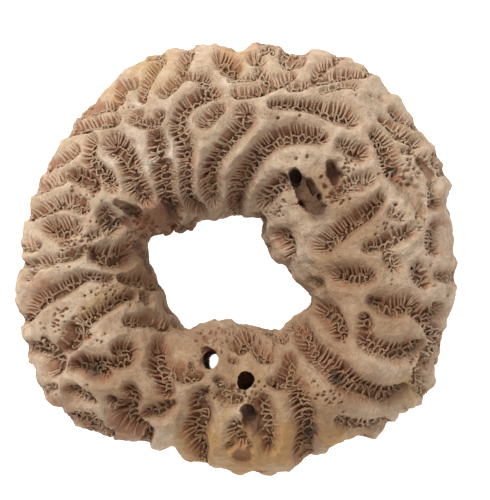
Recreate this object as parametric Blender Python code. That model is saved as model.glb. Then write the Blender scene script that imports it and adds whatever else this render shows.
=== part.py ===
"""Brain coral: a dry, sea-worn skeleton grown as a ring, cut off flat where it stood on the rock.

The ring starts as a torus. Its points move to the coral's own outline, the valleys between its ridges
are sunk into it, and boring animals' holes and the flat base are cut out of it.
"""
import math
import random

import bmesh
import bpy
import numpy as np

MM = 0.001
NAME = "brain_coral"
SEED = 11

# Form of the ring, in millimetres: +X right and +Y away, as one looks down on it, and the base at Z = 0
CREST_HEIGHT = 36.0
OUTER_RIM_HEIGHT = 14.0
INNER_RIM_HEIGHT = 13.0
UNDERSIDE_DEPTH = 26.0
UPPER_ROUNDNESS = 2.05
LOWER_ROUNDNESS = 2.2
LOWEST_POINT = -1.2
RING_CENTRE = (-1.5, -3.0)
LUMP_HEIGHT = 0.8
RIM_SMOOTHING = 9.0

# The outlines and valleys below are as seen from above, from this point, and lie at the height of the rim
VIEW_POINT = (2.4, 2.0)
VIEW_HEIGHT = 465.0

# Ridges and valleys
SHOULDER = 1.12
FLOOR = 0.3
RIM_KEEP = 0.45
RIM_BAND = 0.22
OVER_RIM_REACH = 2.3
WALL_PITCH = 6.3
WALL_VALLEY_WIDTH = 1.9
WALL_VALLEY_DEPTH = 2.0
WALL_STEP = 2.5
WALL_VALLEY_TOP = -8.0

# Mesh of the solid
SEGMENTS_AROUND = 480
SEGMENTS_ACROSS = 150
KEPT_TRIANGLES = 15600
BORE_SIDES = 14

COLOUR = (0.56, 0.43, 0.29, 1.0)
ROUGHNESS = 0.85

# Outline of the ring, clockwise from its left side
OUTER_RIM = [
    (-55.4, -7.0), (-55.1, -5.5), (-54.5, -3.5), (-53.8, -1.5), (-53.3, 0.0), (-53.8, 1.0), (-54.3, 2.5),
    (-54.0, 4.0), (-53.0, 5.0), (-52.8, 6.5), (-52.4, 9.5), (-51.2, 12.5), (-50.6, 14.5), (-50.0, 17.5),
    (-49.1, 19.5), (-46.4, 24.5), (-45.0, 27.0), (-43.6, 29.5), (-42.0, 31.5), (-41.0, 33.0), (-40.0, 35.2),
    (-38.5, 36.8), (-35.1, 39.5), (-34.0, 40.5), (-32.5, 41.6), (-31.5, 43.2), (-30.4, 44.8), (-29.0, 46.1),
    (-27.0, 47.8), (-25.0, 48.3), (-22.7, 50.0), (-20.0, 51.2), (-17.0, 52.0), (-14.0, 52.5), (-12.0, 52.5),
    (-9.0, 53.1), (-6.5, 53.5), (-5.0, 53.8), (-3.0, 53.4), (0.0, 52.5), (2.0, 52.6), (4.0, 53.4),
    (5.5, 54.1), (7.8, 54.2), (9.5, 53.6), (12.0, 52.8), (13.3, 51.8), (17.0, 51.6), (19.5, 52.0),
    (22.0, 51.6), (25.0, 51.0), (28.5, 49.8), (29.6, 48.6), (31.5, 48.2), (33.0, 47.7), (35.0, 46.4),
    (36.0, 44.8), (37.2, 42.8), (37.8, 41.2), (38.7, 40.5), (40.0, 40.4), (41.0, 39.5), (43.0, 36.5),
    (45.0, 34.0), (46.3, 32.0), (48.0, 29.7), (49.9, 28.0), (51.0, 25.5), (52.5, 22.5), (53.8, 19.5),
    (54.1, 18.0), (54.0, 16.0), (53.3, 14.8), (52.9, 13.5), (53.3, 10.0), (53.9, 8.0), (54.5, 4.0),
    (55.0, 0.5), (55.4, -3.5), (55.2, -6.0), (54.5, -11.0), (53.5, -14.0), (52.8, -16.0), (52.5, -19.5),
    (52.0, -22.0), (51.0, -24.8), (50.4, -27.0), (49.8, -30.0), (49.3, -32.5), (48.5, -33.8), (46.5, -36.0),
    (45.0, -37.3), (43.3, -38.4), (41.0, -38.7), (40.0, -40.2), (38.5, -41.8), (36.5, -43.8), (35.0, -45.2),
    (33.5, -45.5), (31.0, -45.0), (27.5, -45.4), (25.5, -46.8), (24.0, -47.7), (23.0, -48.6), (20.5, -49.9),
    (19.0, -50.2), (16.3, -51.8), (14.0, -53.1), (9.0, -53.9), (5.0, -54.0), (2.0, -54.2), (-0.2, -53.8),
    (-1.5, -52.9), (-4.0, -52.1), (-7.0, -51.8), (-10.0, -51.3), (-12.0, -50.3), (-13.7, -48.8),
    (-15.0, -46.9), (-16.0, -46.7), (-18.0, -47.9), (-19.0, -48.3), (-20.0, -48.1), (-22.0, -47.2),
    (-25.0, -46.0), (-27.0, -45.8), (-29.0, -45.2), (-31.0, -45.2), (-33.0, -44.4), (-36.0, -43.8),
    (-38.0, -43.3), (-40.0, -42.3), (-42.5, -40.0), (-43.0, -38.5), (-43.0, -37.0), (-45.4, -36.7),
    (-47.4, -35.3), (-49.2, -32.5), (-50.0, -29.5), (-51.0, -27.0), (-52.3, -24.5), (-53.2, -20.5),
    (-53.9, -15.5), (-54.9, -10.5),
]

# Outline of the hole in the middle, clockwise from its left side
INNER_RIM = [
    (-22.0, 3.5), (-21.0, 4.8), (-20.0, 5.0), (-17.0, 4.9), (-16.2, 5.6), (-15.0, 7.4), (-14.0, 7.6),
    (-12.5, 7.2), (-11.8, 6.4), (-11.0, 6.3), (-10.4, 6.9), (-10.0, 8.0), (-9.6, 8.8), (-6.0, 8.7),
    (-4.5, 9.1), (-3.0, 9.8), (-1.0, 10.0), (2.0, 9.9), (5.3, 9.2), (6.2, 8.8), (6.6, 7.5), (6.5, 5.5),
    (6.7, 3.0), (8.3, 1.0), (9.2, -0.3), (10.2, -1.3), (11.5, -1.5), (12.5, -2.2), (13.2, -3.3),
    (13.7, -4.6), (14.5, -5.5), (16.0, -6.5), (18.0, -8.1), (19.3, -9.6), (18.5, -10.8), (18.0, -12.0),
    (17.0, -13.2), (15.2, -14.7), (13.5, -15.8), (12.3, -17.0), (11.0, -17.8), (9.5, -17.9), (7.0, -17.6),
    (3.8, -16.7), (2.5, -16.0), (-0.5, -15.3), (-3.5, -14.8), (-5.5, -15.0), (-8.5, -16.3), (-10.0, -17.0),
    (-12.5, -17.0), (-13.8, -16.5), (-15.1, -14.6), (-17.0, -12.0), (-17.7, -9.0), (-17.9, -7.5),
    (-18.5, -6.2), (-19.5, -5.0), (-20.7, -2.8), (-21.4, -1.8), (-21.5, 1.0),
]

# Valleys: the depth of each below its ridges, then its centre line as (x, y, half-width)
VALLEYS = [
    # Far left
    (2.4, [(-26.0, 44.2, 1.8), (-28.0, 43.2, 1.8), (-29.2, 41.6, 1.8), (-29.3, 40.2, 1.5)]),
    (1.8, [(-40.0, 36.2, 1.2), (-38.3, 36.8, 1.3), (-36.0, 37.5, 1.5), (-33.5, 38.3, 1.5), (-31.0, 38.3, 1.4)]),
    (2.2, [(-43.0, 31.8, 1.5), (-41.0, 32.5, 1.6), (-38.0, 33.2, 1.7), (-35.0, 33.9, 1.7), (-32.0, 34.3, 1.6),
           (-30.5, 34.7, 1.4)]),
    (1.8, [(-48.0, 22.5, 1.2), (-46.5, 23.5, 1.3), (-44.0, 24.6, 1.5), (-42.0, 26.0, 1.5), (-40.6, 27.3, 1.4)]),
    (1.8, [(-50.5, 17.0, 1.3), (-48.5, 17.8, 1.5), (-46.0, 19.0, 1.6), (-43.8, 19.8, 1.5)]),
    (2.6, [(-36.3, 29.5, 1.7), (-36.6, 27.5, 1.9), (-36.6, 25.5, 1.9), (-35.8, 23.6, 1.8), (-34.2, 21.5, 1.9),
           (-32.3, 20.0, 2.0), (-31.0, 18.0, 1.7)]),
    (3.4, [(-41.0, 20.8, 1.5), (-39.0, 20.3, 2.0), (-37.0, 19.4, 2.0), (-35.6, 18.0, 1.6)]),
    (3.2, [(-29.9, 28.3, 3.0), (-28.3, 26.8, 2.7), (-27.0, 25.0, 2.4), (-25.6, 22.3, 2.5), (-25.0, 19.5, 2.7),
           (-24.0, 17.3, 2.6), (-22.6, 15.3, 2.0), (-21.6, 13.6, 1.3)]),
    (3.0, [(-19.8, 29.8, 2.3), (-19.2, 27.5, 2.6), (-19.3, 25.8, 2.0)]),
    (3.0, [(-18.0, 22.3, 2.5), (-17.3, 20.0, 2.6), (-16.8, 17.5, 2.4), (-16.3, 15.0, 2.2), (-15.6, 12.8, 2.2),
           (-14.3, 11.3, 1.5)]),
    (1.8, [(-24.5, 36.3, 1.4), (-25.5, 34.8, 1.6), (-24.0, 33.7, 1.5), (-21.5, 33.5, 1.4), (-19.8, 34.0, 1.2),
           (-18.7, 36.0, 1.2)]),
    (2.0, [(-19.0, 50.5, 1.4), (-19.0, 49.5, 1.5), (-20.3, 47.5, 1.3), (-21.5, 45.8, 1.4), (-22.5, 43.8, 1.4),
           (-23.3, 41.5, 1.2), (-23.4, 40.0, 1.1)]),
    # Far side
    (2.8, [(-6.5, 41.3, 1.8), (-9.3, 39.8, 1.7), (-12.0, 38.4, 2.0), (-13.3, 36.3, 1.9), (-14.0, 34.0, 2.1),
           (-13.9, 32.0, 2.2), (-12.8, 29.8, 2.2), (-12.2, 27.5, 2.3), (-12.3, 25.0, 2.1), (-12.0, 22.5, 1.9),
           (-12.0, 20.0, 1.9), (-11.9, 17.5, 1.8), (-11.5, 15.2, 1.7), (-10.4, 13.0, 1.7), (-8.9, 11.5, 1.6)]),
    (2.0, [(-18.0, 41.5, 1.5), (-16.2, 43.2, 1.7), (-14.0, 45.1, 1.3), (-11.5, 45.7, 1.1), (-9.3, 45.2, 1.3),
           (-7.6, 44.2, 1.9), (-7.0, 42.5, 1.8), (-5.0, 41.0, 1.3)]),
    (1.6, [(-11.2, 51.6, 1.0), (-12.4, 50.2, 1.4), (-13.2, 48.3, 1.5), (-13.4, 47.0, 1.2)]),
    (2.6, [(-3.8, 50.6, 2.0), (-2.5, 49.6, 2.4), (-1.0, 48.0, 2.3), (-0.2, 46.9, 1.6)]),
    (1.4, [(-2.9, 46.9, 1.0), (-1.9, 46.7, 1.0)]),
    (1.0, [(-1.3, 44.6, 0.8), (1.5, 44.9, 0.9), (4.7, 45.3, 0.9)]),
    (1.8, [(6.2, 46.8, 1.3), (7.3, 45.2, 1.3), (8.5, 43.8, 1.3)]),
    (2.0, [(0.5, 41.2, 1.4), (3.0, 41.5, 1.5), (6.0, 42.0, 1.5), (8.3, 43.2, 1.6), (10.0, 44.0, 1.8),
           (12.3, 44.9, 1.5), (14.5, 46.0, 1.1)]),
    (2.0, [(4.8, 50.2, 1.9), (6.5, 49.5, 1.2)]),
    (1.2, [(6.8, 53.0, 1.0), (7.8, 52.0, 1.0), (9.5, 51.5, 0.8)]),
    (1.8, [(12.2, 50.0, 1.3), (14.0, 49.4, 1.8), (16.0, 49.6, 1.6)]),
    (1.4, [(14.0, 42.8, 1.2), (16.0, 43.1, 1.3), (18.0, 43.5, 1.0)]),
    (1.8, [(24.8, 49.3, 1.0), (23.0, 48.6, 1.2), (21.3, 47.3, 1.6), (20.7, 45.5, 1.6)]),
    (1.6, [(20.0, 44.3, 1.2), (23.0, 45.0, 1.3), (26.0, 45.8, 1.4), (29.0, 46.3, 1.3), (33.0, 46.5, 1.1)]),
    (0.8, [(22.0, 41.9, 0.8), (24.0, 42.3, 0.9), (26.5, 43.0, 0.8), (28.5, 43.4, 0.9), (30.2, 42.9, 0.9)]),
    (2.6, [(9.5, 38.4, 1.2), (13.0, 38.3, 1.4), (17.0, 38.0, 1.4), (20.0, 37.8, 1.6), (22.5, 37.0, 2.0),
           (25.0, 36.5, 2.6), (27.3, 35.7, 2.4), (29.2, 34.4, 1.8)]),
    (3.0, [(20.8, 30.3, 2.3), (17.5, 30.7, 2.4), (14.0, 30.5, 2.3), (10.5, 29.2, 2.3), (7.5, 27.0, 2.3),
           (5.0, 24.0, 2.3), (3.2, 21.2, 2.3), (2.0, 19.0, 2.4), (1.0, 16.8, 2.3), (0.5, 14.7, 2.3),
           (0.2, 12.7, 1.9), (0.0, 11.6, 1.5)]),
    (3.0, [(2.8, 36.2, 2.6), (3.0, 34.5, 2.6), (1.5, 32.3, 2.5), (-1.0, 29.3, 2.4), (-3.0, 26.5, 2.4),
           (-4.8, 23.5, 2.3), (-5.8, 20.5, 2.4), (-5.7, 17.5, 2.4), (-5.6, 15.3, 2.3), (-5.4, 13.8, 1.6)]),
    (2.0, [(-4.0, 37.4, 1.4), (-5.4, 36.2, 1.6), (-7.5, 33.8, 1.8)]),
    # Far right
    (2.6, [(27.3, 28.0, 2.0), (29.0, 27.0, 2.2), (31.0, 26.2, 2.3)]),
    (2.8, [(35.3, 30.8, 1.6), (37.0, 28.7, 2.0), (38.3, 26.3, 2.2), (39.0, 24.0, 2.2), (39.7, 21.8, 2.2)]),
    (2.0, [(36.8, 35.0, 0.9), (38.8, 33.5, 1.4), (41.0, 31.7, 1.8), (43.3, 29.8, 1.3), (45.5, 28.7, 1.2)]),
    (1.4, [(39.3, 37.2, 0.9), (41.0, 35.6, 1.2), (43.0, 34.2, 1.0), (45.3, 32.9, 1.0)]),
    (1.2, [(42.3, 26.7, 1.0), (44.2, 26.8, 1.2)]),
    (0.9, [(49.7, 25.5, 0.7), (50.8, 22.8, 0.8), (51.3, 21.0, 0.7)]),
    (1.8, [(28.3, 18.7, 1.4), (30.8, 19.2, 1.6), (33.3, 19.3, 1.8)]),
    (1.2, [(25.0, 15.2, 1.0), (26.5, 16.7, 1.3), (28.8, 17.4, 1.2), (31.5, 17.3, 1.0)]),
    # Left side
    (2.2, [(-51.5, 10.5, 1.2), (-50.5, 10.8, 1.3), (-48.0, 12.2, 1.5), (-45.5, 13.3, 1.7), (-43.0, 13.9, 1.9),
           (-40.5, 13.3, 2.0), (-38.3, 12.7, 1.8)]),
    (3.0, [(-46.8, 7.2, 2.2), (-44.8, 6.9, 2.6), (-42.5, 7.3, 2.5), (-40.5, 7.3, 2.0)]),
    (1.2, [(-53.5, 2.5, 1.5), (-51.5, 3.0, 2.0), (-49.8, 3.2, 1.2)]),
    (2.0, [(-52.5, -1.6, 0.9), (-50.0, -1.4, 1.2), (-47.3, -0.8, 1.6), (-44.8, -0.2, 1.3), (-42.3, -0.2, 1.3),
           (-40.0, 0.6, 1.6), (-38.8, 1.0, 1.2)]),
    (1.0, [(-48.8, -1.8, 0.7), (-51.0, -3.6, 0.7), (-52.6, -5.4, 0.7)]),
    (1.0, [(-44.0, 3.4, 0.8), (-42.3, 3.7, 0.9)]),
    (2.4, [(-31.0, -5.3, 1.0), (-33.5, -5.2, 1.1), (-36.0, -4.9, 1.1), (-38.5, -5.5, 1.4), (-41.0, -6.8, 1.8),
           (-43.8, -8.3, 2.0), (-46.5, -9.5, 2.0), (-49.0, -10.8, 2.0), (-51.0, -12.8, 1.7), (-52.3, -15.0, 1.3)]),
    (3.4, [(-33.8, 0.6, 2.4), (-31.5, 0.0, 2.9), (-29.0, 0.0, 2.9), (-26.5, 0.6, 2.2)]),
    (1.6, [(-35.8, 5.2, 1.3), (-34.2, 5.8, 1.2)]),
    (2.6, [(-32.3, 11.0, 1.8), (-31.3, 9.0, 2.3), (-30.2, 7.0, 1.8), (-28.2, 8.7, 1.3)]),
    (2.4, [(-25.5, -9.6, 1.0), (-28.0, -10.3, 1.2), (-30.3, -11.8, 1.3), (-32.5, -13.0, 1.3), (-35.0, -14.3, 1.8),
           (-37.7, -16.5, 2.0), (-38.2, -18.5, 1.8), (-37.0, -19.3, 1.0)]),
    (1.6, [(-22.2, -9.3, 1.3), (-21.5, -11.0, 1.0)]),
    (2.0, [(-28.3, -5.0, 1.0), (-26.0, -5.8, 1.3), (-24.0, -5.6, 1.8), (-22.0, -5.5, 2.0), (-20.5, -6.8, 1.5)]),
    (1.8, [(-26.8, -15.8, 1.2), (-24.3, -15.8, 1.5), (-21.5, -15.5, 1.6), (-19.0, -16.2, 1.7),
           (-16.8, -16.9, 1.3)]),
    # Right side
    (2.4, [(11.5, 19.3, 1.6), (10.0, 17.3, 2.0), (8.4, 15.4, 2.1), (7.0, 13.4, 1.8)]),
    (1.2, [(10.3, 17.2, 1.2), (12.3, 17.0, 1.2)]),
    (3.0, [(9.8, 5.6, 1.4), (11.5, 4.7, 2.3), (12.7, 2.5, 1.7), (13.5, 0.2, 1.5)]),
    (3.0, [(36.5, 14.8, 1.6), (34.3, 12.3, 1.9), (32.0, 10.6, 2.2), (29.3, 8.7, 2.2), (26.5, 6.7, 2.4),
           (23.8, 4.6, 2.5), (21.7, 2.6, 2.4)]),
    (1.8, [(49.5, 18.3, 1.2), (49.8, 16.0, 1.4), (50.0, 13.7, 1.6)]),
    (1.8, [(50.0, 7.3, 1.5), (49.8, 5.0, 1.8), (49.8, 3.0, 1.8), (50.2, 1.5, 1.3)]),
    (1.4, [(39.5, 11.0, 1.6), (41.5, 10.0, 1.4)]),
    (2.4, [(33.0, 2.3, 1.3), (36.0, 2.9, 2.0), (38.8, 4.0, 2.2), (41.5, 5.3, 2.0), (43.5, 6.2, 2.0)]),
    (2.0, [(38.3, 1.0, 1.3), (39.2, -0.6, 1.7), (40.2, -2.2, 1.6)]),
    (3.2, [(25.3, -5.0, 2.2), (28.0, -5.2, 2.6), (31.0, -5.2, 2.6), (33.2, -5.0, 2.0)]),
    (2.2, [(45.8, -2.9, 1.7), (46.6, -4.8, 2.0), (47.8, -6.4, 1.5)]),
    (1.6, [(51.3, -4.6, 1.5), (52.8, -4.8, 1.6), (54.0, -4.8, 1.5)]),
    (3.2, [(34.0, -11.2, 1.2), (36.3, -12.2, 2.0), (39.0, -12.8, 2.3), (41.8, -12.2, 2.7), (44.5, -12.2, 2.2),
           (46.0, -14.0, 1.3)]),
    (2.8, [(46.5, -14.8, 1.2), (48.3, -15.0, 2.3), (50.0, -14.3, 2.3), (51.3, -13.0, 1.8)]),
    (2.2, [(48.8, -15.5, 1.8), (49.5, -17.5, 2.0), (50.5, -19.5, 1.8)]),
    (3.0, [(20.7, -12.8, 1.7), (22.8, -14.2, 2.3), (24.3, -16.0, 2.4), (25.6, -18.2, 2.0)]),
    (2.4, [(32.2, -15.5, 1.6), (32.5, -17.0, 1.9)]),
    (1.6, [(18.7, -5.8, 0.9), (20.5, -6.9, 1.5)]),
    # Near right
    (2.8, [(15.8, -17.3, 2.0), (17.6, -20.6, 2.2), (20.0, -23.6, 2.4), (22.5, -25.8, 2.6), (25.2, -28.2, 2.9),
           (27.6, -30.8, 2.8), (30.0, -33.0, 2.6), (32.6, -34.3, 2.8), (35.3, -35.2, 2.9), (38.2, -35.7, 2.9),
           (40.6, -35.0, 2.2), (42.6, -33.0, 1.3)]),
    (3.0, [(13.6, -24.6, 1.4), (13.6, -26.2, 1.8), (13.2, -28.0, 2.0), (13.0, -30.2, 2.7), (15.3, -32.4, 2.2),
           (15.9, -34.6, 2.2), (16.8, -37.0, 2.6), (17.8, -39.6, 2.8), (18.1, -42.2, 2.6), (18.3, -45.0, 3.0),
           (18.3, -47.6, 3.2), (18.0, -50.0, 3.0)]),
    (2.4, [(13.0, -30.4, 2.2), (11.3, -31.2, 2.0), (9.6, -31.3, 1.3)]),
    (2.6, [(32.3, -20.2, 2.2), (34.0, -21.8, 2.3), (36.4, -22.9, 2.3), (38.8, -24.0, 2.5), (41.2, -24.3, 2.6),
           (43.6, -23.7, 2.6), (45.6, -22.6, 1.8), (46.8, -21.4, 1.0)]),
    (1.6, [(51.2, -21.3, 1.4), (49.6, -23.7, 2.1), (48.2, -26.2, 1.7)]),
    (1.2, [(46.0, -29.5, 1.3), (46.0, -31.5, 1.5), (46.4, -33.6, 1.7)]),
    (2.0, [(26.3, -41.3, 1.4), (28.4, -42.6, 2.1), (31.0, -43.1, 2.1), (33.5, -43.2, 2.1), (35.6, -42.4, 1.6),
           (37.8, -41.2, 0.9)]),
    # Near side
    (2.6, [(6.7, -36.3, 2.0), (7.4, -38.6, 2.4), (8.0, -41.2, 2.7), (8.4, -43.8, 2.6), (8.7, -46.0, 1.9),
           (8.4, -47.8, 1.7)]),
    (2.2, [(1.6, -22.3, 1.3), (1.9, -20.7, 2.1), (2.9, -19.3, 2.2), (4.3, -18.9, 1.4)]),
    (1.8, [(6.0, -22.9, 1.6), (7.0, -23.8, 2.0), (8.0, -24.6, 1.6)]),
    (1.2, [(10.0, -19.4, 1.2), (12.0, -20.1, 1.2)]),
    (0.9, [(-0.9, -25.2, 0.8), (0.5, -25.4, 0.8)]),
    (1.8, [(-4.3, -30.4, 0.9), (-3.2, -31.5, 1.2), (-2.4, -33.0, 1.4), (-2.0, -34.8, 2.3), (-0.9, -35.6, 2.0),
           (1.0, -35.3, 1.0)]),
    (2.0, [(0.0, -42.6, 1.8), (0.2, -44.3, 2.2), (1.2, -46.0, 1.9)]),
    (1.4, [(-0.7, -46.8, 1.2), (-1.6, -47.3, 1.0)]),
    (1.2, [(2.6, -46.5, 1.0), (3.6, -47.8, 0.9)]),
    (3.2, [(-18.0, -22.2, 2.2), (-18.4, -24.6, 2.4), (-18.5, -26.8, 2.7), (-18.0, -29.0, 2.4),
           (-17.6, -31.2, 2.0), (-17.3, -33.3, 1.9)]),
    (2.8, [(-16.6, -27.6, 2.2), (-14.6, -28.4, 2.5), (-12.6, -29.3, 2.0), (-10.6, -29.3, 1.7),
           (-9.0, -29.1, 1.0)]),
    (1.6, [(-11.0, -28.0, 1.0), (-11.2, -26.3, 0.7)]),
    (3.0, [(-7.7, -33.9, 1.2), (-8.6, -35.0, 1.9), (-8.7, -37.0, 2.5), (-8.2, -39.2, 2.7), (-8.6, -41.4, 2.8),
           (-9.8, -43.6, 3.1), (-9.6, -46.0, 2.7), (-8.9, -48.4, 2.2), (-8.5, -50.2, 1.5)]),
    # Near left
    (2.8, [(-29.3, -22.9, 1.6), (-27.8, -22.6, 1.9), (-26.1, -23.2, 2.0), (-26.4, -25.2, 1.9),
           (-28.0, -26.0, 1.9), (-30.0, -26.6, 1.5)]),
    (3.8, [(-40.5, -27.6, 1.8), (-38.6, -27.6, 2.6), (-36.6, -27.9, 3.0), (-34.8, -28.3, 2.8),
           (-33.3, -29.2, 2.0)]),
    (2.4, [(-34.6, -26.3, 1.6), (-32.6, -26.5, 1.6), (-31.0, -26.7, 1.3)]),
    (3.6, [(-26.0, -33.6, 1.9), (-25.6, -35.4, 2.0), (-26.6, -37.2, 2.4), (-27.6, -39.2, 2.9),
           (-27.1, -41.2, 2.8), (-25.3, -42.8, 2.2), (-23.6, -44.0, 1.8), (-22.0, -45.0, 1.3)]),
    (2.2, [(-31.4, -35.6, 1.0), (-30.0, -37.0, 1.6), (-28.6, -38.0, 2.0)]),
    (2.6, [(-16.8, -37.4, 1.9), (-18.2, -38.4, 2.5), (-20.2, -39.2, 2.4), (-22.2, -39.6, 1.6)]),
    (1.8, [(-42.0, -33.2, 0.9), (-40.2, -34.0, 1.6), (-38.4, -35.0, 1.6), (-36.8, -35.8, 1.3),
           (-35.6, -36.6, 0.8)]),
    (1.8, [(-42.3, -40.0, 0.9), (-40.0, -40.5, 1.5), (-38.0, -41.2, 2.0), (-36.0, -41.8, 2.1),
           (-34.3, -42.2, 1.5)]),
    (0.9, [(-32.2, -43.2, 0.8), (-30.8, -44.2, 0.9)]),
    (1.0, [(-47.5, -33.1, 1.3), (-45.6, -32.6, 1.2)]),
    (2.2, [(-53.2, -22.0, 1.2), (-50.8, -23.0, 1.9), (-48.4, -23.6, 2.3), (-46.2, -24.6, 2.8),
           (-45.2, -26.4, 2.6), (-45.4, -28.4, 1.8)]),
    (2.6, [(-41.0, -17.6, 1.5), (-40.4, -19.6, 2.3), (-41.6, -21.8, 2.1), (-43.2, -22.7, 1.8)]),
]

# Smooth worn hollows, given as the valleys are
HOLLOWS = [
    (2.0, [(39.7, 21.8, 2.2), (41.5, 19.2, 2.6), (44.0, 16.5, 2.8), (46.0, 13.3, 2.4), (46.8, 11.2, 1.3)]),
    (2.4, [(46.0, 24.0, 1.4), (49.0, 20.5, 1.4)]),
    (3.8, [(15.0, 21.3, 2.0), (16.4, 18.8, 2.6), (18.4, 15.8, 2.7), (20.3, 13.0, 2.6)]),
    (3.0, [(24.4, 24.0, 1.9), (24.8, 21.5, 1.9), (25.2, 19.3, 1.2)]),
    (2.8, [(3.5, -39.4, 2.1), (3.6, -41.3, 2.1), (4.0, -43.2, 1.6)]),
    (2.2, [(0.6, -49.6, 1.9), (2.4, -49.6, 1.9)]),
    (1.4, [(-12.0, -18.0, 1.5), (-8.0, -18.8, 1.8), (-5.0, -17.5, 1.8)]),
    (1.4, [(-8.6, -24.6, 1.6), (-7.6, -24.2, 1.6)]),
    (3.4, [(-29.4, 14.0, 1.1), (-27.6, 13.6, 1.9), (-25.2, 12.2, 1.9)]),
    (2.6, [(-26.0, 8.6, 2.6), (-21.5, 8.8, 3.4), (-17.5, 9.4, 3.0), (-14.5, 9.6, 2.2)]),
    (4.0, [(-17.6, 11.7, 1.3), (-15.2, 11.5, 1.9), (-13.2, 10.6, 1.2)]),
]

# Holes of boring animals: mouth (x, y) and height, end (x, y) and height, radius
BORES = {
    "through_bore": ((-6.5, -23.6), 42.0, (-4.1, -27.8), -4.0, 2.35),
    "deep_bore": ((2.5, -28.5), 42.0, (2.5, -30.1), 19.0, 2.15),
    "near_bore": ((3.4, -37.4), 42.0, (3.5, -36.7), 21.0, 2.0),
    "far_bore": ((14.3, 19.2), 42.0, (14.8, 19.9), 22.0, 1.6),
}


def smoothstep(low, high, value):
    """Rises from 0 to 1 as value goes from low to high."""
    t = np.clip((value - low) / (high - low), 0.0, 1.0)
    return t * t * (3.0 - 2.0 * t)


def polar_outline(points):
    """Angles and radii of an outline about the ring's centre, in order of angle."""
    offsets = np.array(points) - np.array(RING_CENTRE)
    angles = np.arctan2(offsets[:, 1], offsets[:, 0])
    order = np.argsort(angles)
    return angles[order], np.hypot(offsets[order, 0], offsets[order, 1])


def outline_radius(points, theta, smoothing=0.0):
    """Radius of an outline at each angle, averaged over about the given angle in degrees."""
    angles, radii = polar_outline(points)
    even = np.linspace(-math.pi, math.pi, 720, endpoint=False)
    values = np.interp(even, angles, radii, period=2.0 * math.pi)
    if smoothing:
        spread = np.exp(-0.5 * (np.degrees(even) / smoothing) ** 2)
        spectrum = np.fft.fft(np.fft.ifftshift(spread / spread.sum()))
        values = np.real(np.fft.ifft(np.fft.fft(values) * spectrum))
    return np.interp(theta, even, values, period=2.0 * math.pi)


def rim_distance(points, theta):
    """Distance along an outline from angle 0 to each angle, and its whole length."""
    even = np.linspace(0.0, 2.0 * math.pi, 721)
    radius = outline_radius(points, even, RIM_SMOOTHING)
    corners = np.column_stack((radius * np.cos(even), radius * np.sin(even)))
    steps = np.hypot(*np.diff(corners, axis=0).T)
    travelled = np.concatenate(([0.0], np.cumsum(steps)))
    return np.interp(np.mod(theta, 2.0 * math.pi), even, travelled), travelled[-1]


def lumps(x, y, z):
    """Slow swells of the surface, about as wide as three ridges."""
    first = np.sin(0.31 * x + 0.9) * np.sin(0.27 * y - 0.4)
    second = np.sin(0.19 * x - 0.23 * y + 0.25 * z)
    return 0.5 * LUMP_HEIGHT * (first + second)


def ring_form(theta, phi):
    """Points of the ring before its valleys: theta runs round the ring and phi round its section."""
    across = np.cos(phi)
    up = np.sin(phi)
    power = 2.0 / np.where(up >= 0.0, UPPER_ROUNDNESS, LOWER_ROUNDNESS)
    side = np.sign(across) * np.abs(across) ** power
    rise = np.sign(up) * np.abs(up) ** power
    near_rim = np.abs(across) ** 4
    outer_smooth = outline_radius(OUTER_RIM, theta, RIM_SMOOTHING)
    inner_smooth = outline_radius(INNER_RIM, theta, RIM_SMOOTHING)
    outer = outer_smooth + near_rim * (outline_radius(OUTER_RIM, theta) - outer_smooth)
    inner = inner_smooth + near_rim * (outline_radius(INNER_RIM, theta) - inner_smooth)
    radius = 0.5 * (inner + outer) + 0.5 * (outer - inner) * side
    rim_height = INNER_RIM_HEIGHT + (OUTER_RIM_HEIGHT - INNER_RIM_HEIGHT) * 0.5 * (side + 1.0)
    reach = np.where(up >= 0.0, CREST_HEIGHT - rim_height, UNDERSIDE_DEPTH)
    x = RING_CENTRE[0] + radius * np.cos(theta)
    y = RING_CENTRE[1] + radius * np.sin(theta)
    z = rim_height + rise * reach
    z = np.maximum(z + np.maximum(up, 0.0) * lumps(x, y, z), LOWEST_POINT)
    return np.column_stack((x, y, z)), rim_height


def seen_from_above(points):
    """Where each point appears on the plane of the rim, seen from the view point."""
    scale = (VIEW_HEIGHT - OUTER_RIM_HEIGHT) / (VIEW_HEIGHT - points[:, 2])
    centre = np.array(VIEW_POINT)
    return centre + (points[:, :2] - centre) * scale[:, None]


def nearness(places, line):
    """For each place, its distance to a line (x, y, half-width), as a share of the half-width there."""
    line = np.array(line)
    nearest = np.full(len(places), 9.0)
    reach = SHOULDER * line[:, 2].max()
    low = line[:, :2].min(axis=0) - reach
    high = line[:, :2].max(axis=0) + reach
    inside = np.nonzero(np.all((places > low) & (places < high), axis=1))[0]
    for start, end in zip(line[:-1], line[1:]):
        along = end[:2] - start[:2]
        offset = places[inside] - start[:2]
        share = np.clip(offset @ along / (along @ along), 0.0, 1.0)
        gap = np.linalg.norm(offset - share[:, None] * along, axis=1)
        width = start[2] + share * (end[2] - start[2])
        nearest[inside] = np.minimum(nearest[inside], gap / width)
    return nearest


def sunk(places, valleys):
    """Depth of the deepest valley at each place."""
    depth = np.zeros(len(places))
    for deepest, line in valleys:
        profile = 1.0 - smoothstep(FLOOR, SHOULDER, nearness(places, line))
        depth = np.maximum(depth, deepest * profile)
    return depth


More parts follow.
